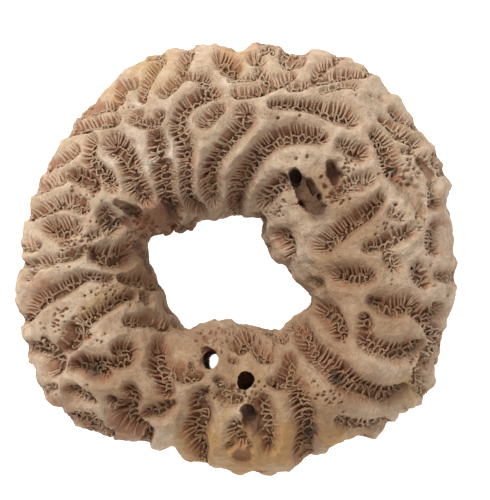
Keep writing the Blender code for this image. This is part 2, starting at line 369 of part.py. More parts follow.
def over_rim(valleys, outline):
    """The valleys carried on past the outline where they end close to it, and the angles where they do."""
    angles, radii = polar_outline(outline)
    outward = 1.0 if outline is OUTER_RIM else -1.0
    carried = []
    crossings = []
    for deepest, line in valleys:
        line = list(line)
        for place, at in ((0, 0), (len(line), -1)):
            x, y, width = line[at]
            offset = (x - RING_CENTRE[0], y - RING_CENTRE[1])
            theta = math.atan2(offset[1], offset[0])
            gap = outward * (np.interp(theta, angles, radii, period=2.0 * math.pi) - math.hypot(*offset))
            if gap < OVER_RIM_REACH:
                step = outward * 4.0 / math.hypot(*offset)
                line.insert(place, (x + step * offset[0], y + step * offset[1], width))
                crossings.append(theta)
        carried.append((deepest, line))
    return carried, crossings


def wall_valleys(outline, crossings, drop, rng):
    """Valleys down a wall, as (distance along the rim, distance below it, half-width)."""
    length = rim_distance(outline, 0.0)[1]
    known = sorted(float(rim_distance(outline, theta)[0]) for theta in crossings)
    known = [s for i, s in enumerate(known) if i == 0 or s - known[i - 1] > 0.6 * WALL_PITCH]
    starts = []
    for s, following in zip(known, known[1:] + [known[0] + length]):
        count = max(1, round((following - s) / WALL_PITCH))
        starts += [s + (following - s) * i / count for i in range(count)]
    valleys = []
    for s in starts:
        split = rng.uniform(4.0, 9.0) if rng.random() < 0.4 else None
        line = []
        top = WALL_VALLEY_TOP * rng.random()
        for i in range(math.ceil((drop + 2.0 - top) / WALL_STEP)):
            t = top + WALL_STEP * i
            sway = 1.5 * math.sin(0.5 * t + 0.21 * s) * min(1.0, abs(t) / 4.0)
            width = WALL_VALLEY_WIDTH * (1.0 + 0.15 * math.sin(1.3 * t + s))
            if split is not None and abs(t - split) < 0.5 * WALL_STEP:
                if len(line) > 1:
                    valleys.append((WALL_VALLEY_DEPTH, line))
                line = []
                continue
            line.append((s + sway, t, width))
        if len(line) > 1:
            valleys.append((WALL_VALLEY_DEPTH, line))
        if rng.random() < 0.35:
            t = rng.uniform(3.0, 10.0)
            valleys.append((0.8 * WALL_VALLEY_DEPTH, [(s, t, 1.4), (s + WALL_PITCH, t + 1.0, 1.4)]))
    return valleys, length


def sunk_in_wall(s, t, valleys, length):
    """Depth of the deepest wall valley at each place (s, t), where s goes round and meets itself."""
    depth = np.zeros(len(s))
    for deepest, line in valleys:
        middle = line[0][0]
        local = np.column_stack((middle + np.mod(s - middle + 0.5 * length, length) - 0.5 * length, t))
        profile = 1.0 - smoothstep(FLOOR, SHOULDER, nearness(local, line))
        depth = np.maximum(depth, deepest * profile)
    return depth


def valley_depths(points, theta, phi, rim_height):
    """How far each point of the ring is sunk by the valleys and hollows."""
    rng = random.Random(SEED)
    up = np.sin(phi)
    outside = np.cos(phi) > 0.0
    carried, outer_crossings = over_rim(VALLEYS, OUTER_RIM)
    carried, inner_crossings = over_rim(carried, INNER_RIM)
    from_above = sunk(seen_from_above(points), carried + HOLLOWS)
    walls = np.zeros(len(points))
    for outline, crossings, chosen in (
        (OUTER_RIM, outer_crossings, outside),
        (INNER_RIM, inner_crossings, ~outside),
    ):
        valleys, length = wall_valleys(outline, crossings, OUTER_RIM_HEIGHT, rng)
        s = rim_distance(outline, theta[chosen])[0]
        t = (rim_height - points[:, 2])[chosen]
        walls[chosen] = sunk_in_wall(s, t, valleys, length)
    top = smoothstep(-0.10, 0.05, up)
    bottom = (1.0 - smoothstep(0.35, 0.50, up)) * smoothstep(-1.1, -0.3, points[:, 2])
    keep = RIM_KEEP + (1.0 - RIM_KEEP) * smoothstep(0.0, RIM_BAND, np.abs(up))
    return keep * np.maximum(top * from_above, bottom * walls)


def ring_mesh():
    """A fine torus whose points are moved to the ring's form and sunk along its normals."""
    bpy.ops.mesh.primitive_torus_add(
        major_segments=SEGMENTS_AROUND,
        minor_segments=SEGMENTS_ACROSS,
        major_radius=1.0,
        minor_radius=0.5,
    )
    ring = bpy.context.object
    mesh = ring.data
    count = len(mesh.vertices)
    places = np.empty(3 * count)
    mesh.vertices.foreach_get("co", places)
    x, y, z = places.reshape(count, 3).T
    theta = np.arctan2(y, x)
    phi = np.arctan2(z, np.hypot(x, y) - 1.0)
    points, rim_height = ring_form(theta, phi)
    mesh.vertices.foreach_set("co", (points * MM).ravel())
    mesh.update()
    normals = np.empty(3 * count)
    mesh.vertex_normals.foreach_get("vector", normals)
    depth = valley_depths(points, theta, phi, rim_height)
    points -= depth[:, None] * normals.reshape(count, 3)
    mesh.vertices.foreach_set("co", (points * MM).ravel())
    mesh.update()
    return ring


def coral_material():
    """Dry, worn coral limestone."""
    material = bpy.data.materials.new("coral_limestone")
    material.use_nodes = True
    shader = material.node_tree.nodes["Principled BSDF"]
    shader.inputs["Base Color"].default_value = COLOUR
    shader.inputs["Roughness"].default_value = ROUGHNESS
    shader.inputs["Metallic"].default_value = 0.0
    material.diffuse_color = COLOUR
    return material


def growth_cut():
    """The block below the base, which cuts the coral off flat where it grew."""
    bpy.ops.mesh.primitive_cube_add(size=1.0, location=(0.0, 0.0, -20.0 * MM))
    block = bpy.context.object
    block.name = "growth_cut"
    bmesh_scale(block, (160.0 * MM, 160.0 * MM, 40.0 * MM))
    return block


def bmesh_scale(obj, factors):
    """Scales an object's mesh, not the object."""
    shape = bmesh.new()
    shape.from_mesh(obj.data)
    bmesh.ops.scale(shape, vec=factors, verts=shape.verts)
    shape.to_mesh(obj.data)
    shape.free()


def bore_cutter(name, mouth, mouth_height, end, end_height, radius):
    """A round bar along a bore."""
    start = np.array((*mouth, mouth_height)) * MM
    stop = np.array((*end, end_height)) * MM
    axis = start - stop
    middle = 0.5 * (start + stop)
    bpy.ops.mesh.primitive_cylinder_add(
        vertices=BORE_SIDES, radius=radius * MM, depth=float(np.linalg.norm(axis)), location=middle
    )
    bar = bpy.context.object
    bar.name = name
    bar.rotation_euler = (
        -math.asin(axis[1] / np.linalg.norm(axis)),
        math.atan2(axis[0], axis[2]),
        0.0,
    )
    return bar


def cut(body, cutter, collection):
    """Takes a cutter out of the body, and keeps it out of the picture."""
    for owner in list(cutter.users_collection):
        owner.objects.unlink(cutter)
    collection.objects.link(cutter)
    cutter.hide_render = True
    cutter.display_type = "WIRE"
    modifier = body.modifiers.new(cutter.name, "BOOLEAN")
    modifier.operation = "DIFFERENCE"
    modifier.solver = "EXACT"
    modifier.object = cutter


def build():
    """The coral and its cutters."""
    for obj in list(bpy.data.objects):
        bpy.data.objects.remove(obj)
    scene_root = bpy.context.scene.collection
    coral_parts = bpy.data.collections.new(NAME)
    cutters = bpy.data.collections.new("cutters")
    scene_root.children.link(coral_parts)
    scene_root.children.link(cutters)

    coral = ring_mesh()
    coral.name = NAME
    coral.data.name = NAME
    for owner in list(coral.users_collection):
        owner.objects.unlink(coral)
    coral_parts.objects.link(coral)
    coral.data.materials.append(coral_material())

    thin = coral.modifiers.new("fewer_faces", "DECIMATE")
    thin.ratio = KEPT_TRIANGLES / (2.0 * SEGMENTS_AROUND * SEGMENTS_ACROSS)
    thin.use_collapse_triangulate = True
    cut(coral, growth_cut(), cutters)
    for name, (mouth, mouth_height, end, end_height, radius) in BORES.items():
        cut(coral, bore_cutter(name, mouth, mouth_height, end, end_height, radius), cutters)


build()
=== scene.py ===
"""Brain coral: a dry, sea-worn skeleton grown as a ring, with its septa and porous valley middles."""

import itertools
import math
import random

import bpy
import numpy as np
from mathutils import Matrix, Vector
from mathutils.bvhtree import BVHTree
from mathutils.kdtree import KDTree


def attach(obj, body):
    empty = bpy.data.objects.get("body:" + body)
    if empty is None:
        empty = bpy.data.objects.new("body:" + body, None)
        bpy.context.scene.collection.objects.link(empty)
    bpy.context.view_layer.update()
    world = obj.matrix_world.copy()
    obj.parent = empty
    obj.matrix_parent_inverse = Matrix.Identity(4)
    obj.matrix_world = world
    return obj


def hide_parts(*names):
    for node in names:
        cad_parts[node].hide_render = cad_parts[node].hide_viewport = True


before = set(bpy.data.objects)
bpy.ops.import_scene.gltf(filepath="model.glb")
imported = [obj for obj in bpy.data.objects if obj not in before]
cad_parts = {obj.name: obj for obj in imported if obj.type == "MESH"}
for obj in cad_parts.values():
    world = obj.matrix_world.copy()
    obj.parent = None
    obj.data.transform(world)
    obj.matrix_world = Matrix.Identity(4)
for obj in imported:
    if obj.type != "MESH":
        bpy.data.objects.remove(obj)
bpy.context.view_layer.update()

MM = 0.001
SEED = 11

# Form of the ring, in millimetres: +X right and +Y away, as one looks down on it, and the base at Z = 0
CREST_HEIGHT = 36.0
OUTER_RIM_HEIGHT = 14.0
INNER_RIM_HEIGHT = 13.0
UNDERSIDE_DEPTH = 26.0
UPPER_ROUNDNESS = 2.05
LOWER_ROUNDNESS = 2.2
RING_CENTRE = (-1.5, -3.0)
LUMP_HEIGHT = 0.8
RIM_SMOOTHING = 9.0

# The outlines and valleys below are as seen from above, from this point, and lie at the height of the rim
VIEW_POINT = (2.4, 2.0)
VIEW_HEIGHT = 465.0

# Sines of the angle round the section, which are 1 on the crest and 0 at the rims: where the crown's
# valleys fade in and the walls' fade out, and the lowest of the crown's septa and the highest of the walls'
CROWN_FADE = (-0.10, 0.05)
WALL_FADE = (0.35, 0.50)
LOWEST_ON_TOP = -0.02
WALL_TOP = 0.42

# Heights above the base between which the walls' valleys fade in, and the share of its depth from which a
# valley counts as the closest one
BASE_FADE = (0.0, 0.8)
LEAST_FADE = 0.3

# Share of the valleys' depth that is kept at the rims, and the sine at which it is whole again
RIM_KEEP = 0.45
RIM_BAND = 0.22

# Valleys that end this close to a rim are carried on past it, by this much
OVER_RIM_REACH = 2.3
OVER_RIM_STEP = 4.0

# Valleys down the walls, as in the solid: some are split, and some are linked to the next one
CROSSING_GAP = 0.6
WALL_PITCH = 6.3
WALL_VALLEY_WIDTH = 1.9
WALL_VALLEY_DEPTH = 2.0
WALL_STEP = 2.5
WALL_VALLEY_TOP = -8.0
WALL_SWAY = 1.5
SPLIT_SHARE = 0.4
SPLIT_AT = (4.0, 9.0)
LINK_SHARE = 0.35
LINK_AT = (3.0, 10.0)
LINK_WIDTH = 1.4
LINK_DEPTH = 0.8

# Steps along a valley's line: for its depths, for its rim and for its net
LINE_STEP = 0.9
RIM_STEP = 0.35
NET_STEP = 0.3

# Section of a valley: depths as shares of the valley's, at places from its deepest line (0) to its rim (1)
DEPTH_SCALE = 1.1
SHOULDER_SHARE = 0.34
SHOULDER_FROM = 0.75
SHOULDER_REACH = 1.8
EDGE_SHARE = 0.42
EDGE_LIP = 1.12
EDGE_FOOT = 0.34
GROOVE_SHARE = 0.42
GROOVE_LIMITS = (0.70, 1.15)
GROOVE_LIP = 1.28
GROOVE_FOOT = 0.50
MIDDLE_BAND = (0.45, 0.15)
MIDDLE_RISE = 0.3
LIP_WANDER = 0.08

# The wall on a valley's narrower side: its widths, in half-widths, that count as narrow and as usual, the
# shares of groove depth and colour that a narrow one has, and the places between which its colour pales
SHORT_WALL = (0.70, 1.05)
SHORT_WALL_SHARE = 0.25
SHORT_WALL_TINT = 0.45
SHORT_WALL_PALE = (0.25, 0.5)

# The deepest line lies off the middle, as a share of the half-width: uphill on the outer flank, less so
# on the inner one, and towards (x, y)
UPHILL_LEAN = 0.14
INNER_FLANK = -0.3
LEAN = (0.34, -0.44)

# Septa, the thin plates that stand on a valley's walls; they are wider apart on the near side
SEPTUM_PITCH = 0.98
NEAR_PITCH = 1.42
NEAR_DEPTH = 1.18
NEAR_SIDE = (-22.0, -6.0)
OWN_RIM = 0.93
SEPTUM_JITTER = 0.22
SEPTUM_REACHES = (1.32, 1.24, 1.16, 1.08, 1.0)
SEPTUM_STATIONS = 9
SEPTUM_INNER = (0.22, 0.50)
SEPTUM_SKEW = 0.2
SEPTUM_BEND = 0.08
CROSSING_SHARE = 0.15
BROKEN_SHARE = 0.09
WORN_BROKEN_SHARE = 0.5
SHORT_BROKEN_SHARE = 0.6

# Section of a septum
SEPTUM_THICKNESS = 0.44
SEPTUM_VARIETY = (0.75, 1.3)
SEPTUM_FLARE = 0.40
SEPTUM_UNEVENNESS = 0.08
SEPTUM_ROOT = 0.3
SEPTUM_FOOT = 1.25
SEPTUM_BEVEL = 0.16
COSTA_HEIGHT = 0.03
LEAST_GROOVE = 0.25

# The porous net along the middle of a valley
NET_CELL = 1.75
WALL_NET_CELL = 1.9
NET_SHARES = (0.33, 0.50)
NET_ZIGZAG = 0.17
NET_SCATTER = (0.15, 0.18)
NET_DROP = 0.09
NET_GAP_SHARE = 0.15
LOWEST_NET = 0.6
LEAST_NET_GROOVE = 0.13
ROD_RADIUS = 0.25
ROD_VARIETY = (0.85, 1.25)
ROD_WAIST = (1.3, 0.8, 1.3)
ROD_SAG = 0.07
SHORTEST_ROD = 0.05

# Height of a row of a hexagonal grid, as a share of the grid's step
HEXAGON = 0.87

# Worn hollows
HOLLOW_LIP = 1.08
HOLLOW_REACH = 1.4
HOLLOW_WANDER = 0.32
HOLLOW_ROUGHNESS = 0.18

# Pores of worn patches
PATCH_PORE_STEP = 1.2
PATCH_PORE_RADII = (0.3, 0.6)
PATCH_PORE_SCATTER = 0.25
PATCH_PORE_SHARE = 0.7
PORE_STRETCH = (1.0, 1.6)
PORE_STEEPNESS = 1.8

# Random swells: size and seed, and for the rough skin a height before them
LATTICE = 32
WANDER_SWELLS = (1.6, 5)
FLOOR_SWELLS = (1.9, 9)
HOLLOW_SWELLS = (1.8, 10)
SKIN_SWELLS = ((0.42, 5.0, 6), (0.32, 2.4, 7), (0.20, 1.0, 8))
FLOOR_UNEVENNESS = 0.6

# Mesh of the body
SEGMENTS_AROUND = 1080
SEGMENTS_ACROSS = 360
CROWN_DENSITY = 0.38
BODY_TRIANGLES = 192000
SHARP_ANGLE = 50.0
BORE_SIDES = 28
BORE_STATIONS = 9
BORE_SEED = 40
BORE_MARGIN = 0.15
SECTION_SIDES = 5

# A nearness that no place in a valley has
FAR_OFF = 9.0

# Depth that is coloured as the deepest part of a valley, and how much each thing's depth counts towards it:
# the colour browns with depth as the walls' own brown, then darkens further as painted shade in the valleys,
# hollows, pores, bores and down the septa
DEEPEST = 3.5
HOLLOW_TINT = 0.38
BORE_SHADE_DEPTH = 1.2
PORE_TINT = 1.8
SEPTUM_TINT = 0.50
NET_TINT = 0.38
BELOW_TINT = 0.7
MIDDLE_FADE = (0.30, 0.65)

# Noises of the material: size, detail and roughness
BROAD_NOISE = (16.0, 2.0, 0.55)
PATCHY_NOISE = (4.0, 4.0, 0.6)
FINE_NOISE = (0.6, 4.0, 0.7)
GRAIN_NOISE = (1.6, 3.0, 0.6)
PIT_SIZE = 0.9

# How strongly the colours lie over one another, and the depths between which they come in
UNEVEN_DEPTH = 0.22
CREST_DEPTHS = (0.10, -0.06)
WALL_DEPTHS = (0.10, 0.48)
DEEP_DEPTHS = (0.60, 1.10)
TAN_STRENGTH = 0.6
WALL_STRENGTH = 0.85
OLIVE_STRENGTH = 0.6
DEEP_STRENGTH = 0.9
GRAIN_STRENGTH = 0.30
SPECKLE_STRENGTH = 0.35

# Surface of the coral, and the shares of the fine noise, the pits and the grain in its bumps
CORAL_ROUGHNESS = 0.85
CORAL_SPECULAR = 0.3
BUMP_SHARES = (0.5, 0.35, 0.9)
BUMP_STRENGTH = 0.8
BUMP_HEIGHT = 0.6

# Floor
FLOOR_GLOW = 1.0
FLOOR_SIZE = 12000.0
FLOOR_DROP = 0.02
FLOOR_ROUGHNESS = 0.9

# Camera: the middle and the width of what it frames at the rim's height, in millimetres
FRAME_CENTRE = (2.375, 2.0)
FRAME_WIDTH = 125.0
SENSOR_WIDTH = 36.0

# Lights: name, size, power, place and colour, with sizes and places in metres
LIGHTS = (
    ("key", 0.45, 8.0, (-0.36, 0.54, 0.65), (1.0, 0.985, 0.96)),
    ("fill", 0.9, 2.4, (0.3, -0.2, 0.95), (1.0, 0.99, 0.98)),
)
LIGHT_TARGET = (0.0, 0.0, 0.02)
SURROUND_LIGHT = 0.40


def read_line(text):
    """Points or patches from a text such as "x y, x y" or "x y width, x y width"."""
    return [tuple(float(number) for number in point.split()) for point in text.split(",")]


def read_lines(text):
    """Valleys from a text such as "depth: line; depth: line", as their depths and lines."""
    valleys = []
    for entry in text.split(";"):
        depth, line = entry.split(":")
        valleys.append((float(depth), read_line(line)))
    return valleys


# The lines and patches below are drawn in millimetres, and are text so that they stay short

# Outline of the ring, clockwise from its left side
OUTER_RIM = read_line("""
    -55.4 -7, -55.1 -5.5, -54.5 -3.5, -53.8 -1.5, -53.3 0, -53.8 1, -54.3 2.5, -54 4, -53 5, -52.8 6.5,
    -52.4 9.5, -51.2 12.5, -50.6 14.5, -50 17.5, -49.1 19.5, -46.4 24.5, -45 27, -43.6 29.5, -42 31.5,
    -41 33, -40 35.2, -38.5 36.8, -35.1 39.5, -34 40.5, -32.5 41.6, -31.5 43.2, -30.4 44.8, -29 46.1,
    -27 47.8, -25 48.3, -22.7 50, -20 51.2, -17 52, -14 52.5, -12 52.5, -9 53.1, -6.5 53.5, -5 53.8,
    -3 53.4, 0 52.5, 2 52.6, 4 53.4, 5.5 54.1, 7.8 54.2, 9.5 53.6, 12 52.8, 13.3 51.8, 17 51.6, 19.5 52,
    22 51.6, 25 51, 28.5 49.8, 29.6 48.6, 31.5 48.2, 33 47.7, 35 46.4, 36 44.8, 37.2 42.8, 37.8 41.2,
    38.7 40.5, 40 40.4, 41 39.5, 43 36.5, 45 34, 46.3 32, 48 29.7, 49.9 28, 51 25.5, 52.5 22.5, 53.8 19.5,
    54.1 18, 54 16, 53.3 14.8, 52.9 13.5, 53.3 10, 53.9 8, 54.5 4, 55 0.5, 55.4 -3.5, 55.2 -6, 54.5 -11,
    53.5 -14, 52.8 -16, 52.5 -19.5, 52 -22, 51 -24.8, 50.4 -27, 49.8 -30, 49.3 -32.5, 48.5 -33.8, 46.5 -36,
    45 -37.3, 43.3 -38.4, 41 -38.7, 40 -40.2, 38.5 -41.8, 36.5 -43.8, 35 -45.2, 33.5 -45.5, 31 -45,
    27.5 -45.4, 25.5 -46.8, 24 -47.7, 23 -48.6, 20.5 -49.9, 19 -50.2, 16.3 -51.8, 14 -53.1, 9 -53.9, 5 -54,
    2 -54.2, -0.2 -53.8, -1.5 -52.9, -4 -52.1, -7 -51.8, -10 -51.3, -12 -50.3, -13.7 -48.8, -15 -46.9,
    -16 -46.7, -18 -47.9, -19 -48.3, -20 -48.1, -22 -47.2, -25 -46, -27 -45.8, -29 -45.2, -31 -45.2,
    -33 -44.4, -36 -43.8, -38 -43.3, -40 -42.3, -42.5 -40, -43 -38.5, -43 -37, -45.4 -36.7, -47.4 -35.3,
    -49.2 -32.5, -50 -29.5, -51 -27, -52.3 -24.5, -53.2 -20.5, -53.9 -15.5, -54.9 -10.5
""")

# Outline of the hole in the middle, clockwise from its left side
INNER_RIM = read_line("""
    -22 3.5, -21 4.8, -20 5, -17 4.9, -16.2 5.6, -15 7.4, -14 7.6, -12.5 7.2, -11.8 6.4, -11 6.3, -10.4 6.9,
    -10 8, -9.6 8.8, -6 8.7, -4.5 9.1, -3 9.8, -1 10, 2 9.9, 5.3 9.2, 6.2 8.8, 6.6 7.5, 6.5 5.5, 6.7 3,
    8.3 1, 9.2 -0.3, 10.2 -1.3, 11.5 -1.5, 12.5 -2.2, 13.2 -3.3, 13.7 -4.6, 14.5 -5.5, 16 -6.5, 18 -8.1,
    19.3 -9.6, 18.5 -10.8, 18 -12, 17 -13.2, 15.2 -14.7, 13.5 -15.8, 12.3 -17, 11 -17.8, 9.5 -17.9, 7 -17.6,
    3.8 -16.7, 2.5 -16, -0.5 -15.3, -3.5 -14.8, -5.5 -15, -8.5 -16.3, -10 -17, -12.5 -17, -13.8 -16.5,
    -15.1 -14.6, -17 -12, -17.7 -9, -17.9 -7.5, -18.5 -6.2, -19.5 -5, -20.7 -2.8, -21.4 -1.8, -21.5 1
""")

# Valleys, part by part of the ring: the depth of each below its ridges, then its centre line as
# x, y and half-width
FAR_LEFT = read_lines("""
    2.4: -26 44.2 1.8, -28 43.2 1.8, -29.2 41.6 1.8, -29.3 40.2 1.5;
    1.8: -40 36.2 1.2, -38.3 36.8 1.3, -36 37.5 1.5, -33.5 38.3 1.5, -31 38.3 1.4;
    2.2: -43 31.8 1.5, -41 32.5 1.6, -38 33.2 1.7, -35 33.9 1.7, -32 34.3 1.6, -30.5 34.7 1.4;
    1.8: -48 22.5 1.2, -46.5 23.5 1.3, -44 24.6 1.5, -42 26 1.5, -40.6 27.3 1.4;
    1.8: -50.5 17 1.3, -48.5 17.8 1.5, -46 19 1.6, -43.8 19.8 1.5;
    2.6: -36.3 29.5 1.7, -36.6 27.5 1.9, -36.6 25.5 1.9, -35.8 23.6 1.8, -34.2 21.5 1.9, -32.3 20 2,
        -31 18 1.7;
    3.4: -41 20.8 1.5, -39 20.3 2, -37 19.4 2, -35.6 18 1.6;
    3.2: -29.9 28.3 3, -28.3 26.8 2.7, -27 25 2.4, -25.6 22.3 2.5, -25 19.5 2.7, -24 17.3 2.6, -22.6 15.3 2,
        -21.6 13.6 1.3;
    3: -19.8 29.8 2.3, -19.2 27.5 2.6, -19.3 25.8 2;
    3: -18 22.3 2.5, -17.3 20 2.6, -16.8 17.5 2.4, -16.3 15 2.2, -15.6 12.8 2.2, -14.3 11.3 1.5;
    1.8: -24.5 36.3 1.4, -25.5 34.8 1.6, -24 33.7 1.5, -21.5 33.5 1.4, -19.8 34 1.2, -18.7 36 1.2;
    2: -19 50.5 1.4, -19 49.5 1.5, -20.3 47.5 1.3, -21.5 45.8 1.4, -22.5 43.8 1.4, -23.3 41.5 1.2,
        -23.4 40 1.1
""")

FAR_MIDDLE = read_lines("""
    2.8: -6.5 41.3 1.8, -9.3 39.8 1.7, -12 38.4 2, -13.3 36.3 1.9, -14 34 2.1, -13.9 32 2.2, -12.8 29.8 2.2,
        -12.2 27.5 2.3, -12.3 25 2.1, -12 22.5 1.9, -12 20 1.9, -11.9 17.5 1.8, -11.5 15.2 1.7,
        -10.4 13 1.7, -8.9 11.5 1.6;
    2: -18 41.5 1.5, -16.2 43.2 1.7, -14 45.1 1.3, -11.5 45.7 1.1, -9.3 45.2 1.3, -7.6 44.2 1.9,
        -7 42.5 1.8, -5 41 1.3;
    1.6: -11.2 51.6 1, -12.4 50.2 1.4, -13.2 48.3 1.5, -13.4 47 1.2;
    2.6: -3.8 50.6 2, -2.5 49.6 2.4, -1 48 2.3, -0.2 46.9 1.6;
    1.4: -2.9 46.9 1, -1.9 46.7 1;
    1: -1.3 44.6 0.8, 1.5 44.9 0.9, 4.7 45.3 0.9;
    1.8: 6.2 46.8 1.3, 7.3 45.2 1.3, 8.5 43.8 1.3;
    2: 0.5 41.2 1.4, 3 41.5 1.5, 6 42 1.5, 8.3 43.2 1.6, 10 44 1.8, 12.3 44.9 1.5, 14.5 46 1.1;
    2: 4.8 50.2 1.9, 6.5 49.5 1.2;
    1.2: 6.8 53 1, 7.8 52 1, 9.5 51.5 0.8;
    1.8: 12.2 50 1.3, 14 49.4 1.8, 16 49.6 1.6;
    1.4: 14 42.8 1.2, 16 43.1 1.3, 18 43.5 1;
    1.8: 24.8 49.3 1, 23 48.6 1.2, 21.3 47.3 1.6, 20.7 45.5 1.6;
    1.6: 20 44.3 1.2, 23 45 1.3, 26 45.8 1.4, 29 46.3 1.3, 33 46.5 1.1;
    0.8: 22 41.9 0.8, 24 42.3 0.9, 26.5 43 0.8, 28.5 43.4 0.9, 30.2 42.9 0.9;
    2.6: 9.5 38.4 1.2, 13 38.3 1.4, 17 38 1.4, 20 37.8 1.6, 22.5 37 2, 25 36.5 2.6, 27.3 35.7 2.4,
        29.2 34.4 1.8;
    3: 20.8 30.3 2.3, 17.5 30.7 2.4, 14 30.5 2.3, 10.5 29.2 2.3, 7.5 27 2.3, 5 24 2.3, 3.2 21.2 2.3,
        2 19 2.4, 1 16.8 2.3, 0.5 14.7 2.3, 0.2 12.7 1.9, 0 11.6 1.5;
    3: 2.8 36.2 2.6, 3 34.5 2.6, 1.5 32.3 2.5, -1 29.3 2.4, -3 26.5 2.4, -4.8 23.5 2.3, -5.8 20.5 2.4,
        -5.7 17.5 2.4, -5.6 15.3 2.3, -5.4 13.8 1.6;
    2: -4 37.4 1.4, -5.4 36.2 1.6, -7.5 33.8 1.8
""")

FAR_RIGHT = read_lines("""
    2.6: 27.3 28 2, 29 27 2.2, 31 26.2 2.3;
    2.8: 35.3 30.8 1.6, 37 28.7 2, 38.3 26.3 2.2, 39 24 2.2, 39.7 21.8 2.2;
    2: 36.8 35 0.9, 38.8 33.5 1.4, 41 31.7 1.8, 43.3 29.8 1.3, 45.5 28.7 1.2;
    1.4: 39.3 37.2 0.9, 41 35.6 1.2, 43 34.2 1, 45.3 32.9 1;
    1.2: 42.3 26.7 1, 44.2 26.8 1.2;
    0.9: 49.7 25.5 0.7, 50.8 22.8 0.8, 51.3 21 0.7;
    1.8: 28.3 18.7 1.4, 30.8 19.2 1.6, 33.3 19.3 1.8;
    1.2: 25 15.2 1, 26.5 16.7 1.3, 28.8 17.4 1.2, 31.5 17.3 1
""")

LEFT_SIDE = read_lines("""
    2.2: -51.5 10.5 1.2, -50.5 10.8 1.3, -48 12.2 1.5, -45.5 13.3 1.7, -43 13.9 1.9, -40.5 13.3 2,
        -38.3 12.7 1.8;
    3: -46.8 7.2 2.2, -44.8 6.9 2.6, -42.5 7.3 2.5, -40.5 7.3 2;
    1.2: -53.5 2.5 1.5, -51.5 3 2, -49.8 3.2 1.2;
    2: -52.5 -1.6 0.9, -50 -1.4 1.2, -47.3 -0.8 1.6, -44.8 -0.2 1.3, -42.3 -0.2 1.3, -40 0.6 1.6,
        -38.8 1 1.2;
    1: -48.8 -1.8 0.7, -51 -3.6 0.7, -52.6 -5.4 0.7;
    1: -44 3.4 0.8, -42.3 3.7 0.9;
    2.4: -31 -5.3 1, -33.5 -5.2 1.1, -36 -4.9 1.1, -38.5 -5.5 1.4, -41 -6.8 1.8, -43.8 -8.3 2, -46.5 -9.5 2,
        -49 -10.8 2, -51 -12.8 1.7, -52.3 -15 1.3;
    3.4: -33.8 0.6 2.4, -31.5 0 2.9, -29 0 2.9, -26.5 0.6 2.2;
    1.6: -35.8 5.2 1.3, -34.2 5.8 1.2;
    2.6: -32.3 11 1.8, -31.3 9 2.3, -30.2 7 1.8, -28.2 8.7 1.3;
    2.4: -25.5 -9.6 1, -28 -10.3 1.2, -30.3 -11.8 1.3, -32.5 -13 1.3, -35 -14.3 1.8, -37.7 -16.5 2,
        -38.2 -18.5 1.8, -37 -19.3 1;
    1.6: -22.2 -9.3 1.3, -21.5 -11 1;
    2: -28.3 -5 1, -26 -5.8 1.3, -24 -5.6 1.8, -22 -5.5 2, -20.5 -6.8 1.5;
    1.8: -26.8 -15.8 1.2, -24.3 -15.8 1.5, -21.5 -15.5 1.6, -19 -16.2 1.7, -16.8 -16.9 1.3
""")

RIGHT_SIDE = read_lines("""
    2.4: 11.5 19.3 1.6, 10 17.3 2, 8.4 15.4 2.1, 7 13.4 1.8;
    1.2: 10.3 17.2 1.2, 12.3 17 1.2;
    3: 9.8 5.6 1.4, 11.5 4.7 2.3, 12.7 2.5 1.7, 13.5 0.2 1.5;
    3: 36.5 14.8 1.6, 34.3 12.3 1.9, 32 10.6 2.2, 29.3 8.7 2.2, 26.5 6.7 2.4, 23.8 4.6 2.5, 21.7 2.6 2.4;
    1.8: 49.5 18.3 1.2, 49.8 16 1.4, 50 13.7 1.6;
    1.8: 50 7.3 1.5, 49.8 5 1.8, 49.8 3 1.8, 50.2 1.5 1.3;
    1.4: 39.5 11 1.6, 41.5 10 1.4;
    2.4: 33 2.3 1.3, 36 2.9 2, 38.8 4 2.2, 41.5 5.3 2, 43.5 6.2 2;
    2: 38.3 1 1.3, 39.2 -0.6 1.7, 40.2 -2.2 1.6;
    3.2: 25.3 -5 2.2, 28 -5.2 2.6, 31 -5.2 2.6, 33.2 -5 2;
    2.2: 45.8 -2.9 1.7, 46.6 -4.8 2, 47.8 -6.4 1.5;
    1.6: 51.3 -4.6 1.5, 52.8 -4.8 1.6, 54 -4.8 1.5;
    3.2: 34 -11.2 1.2, 36.3 -12.2 2, 39 -12.8 2.3, 41.8 -12.2 2.7, 44.5 -12.2 2.2, 46 -14 1.3;
    2.8: 46.5 -14.8 1.2, 48.3 -15 2.3, 50 -14.3 2.3, 51.3 -13 1.8;
    2.2: 48.8 -15.5 1.8, 49.5 -17.5 2, 50.5 -19.5 1.8;
    3: 20.7 -12.8 1.7, 22.8 -14.2 2.3, 24.3 -16 2.4, 25.6 -18.2 2;
    2.4: 32.2 -15.5 1.6, 32.5 -17 1.9;
    1.6: 18.7 -5.8 0.9, 20.5 -6.9 1.5
""")

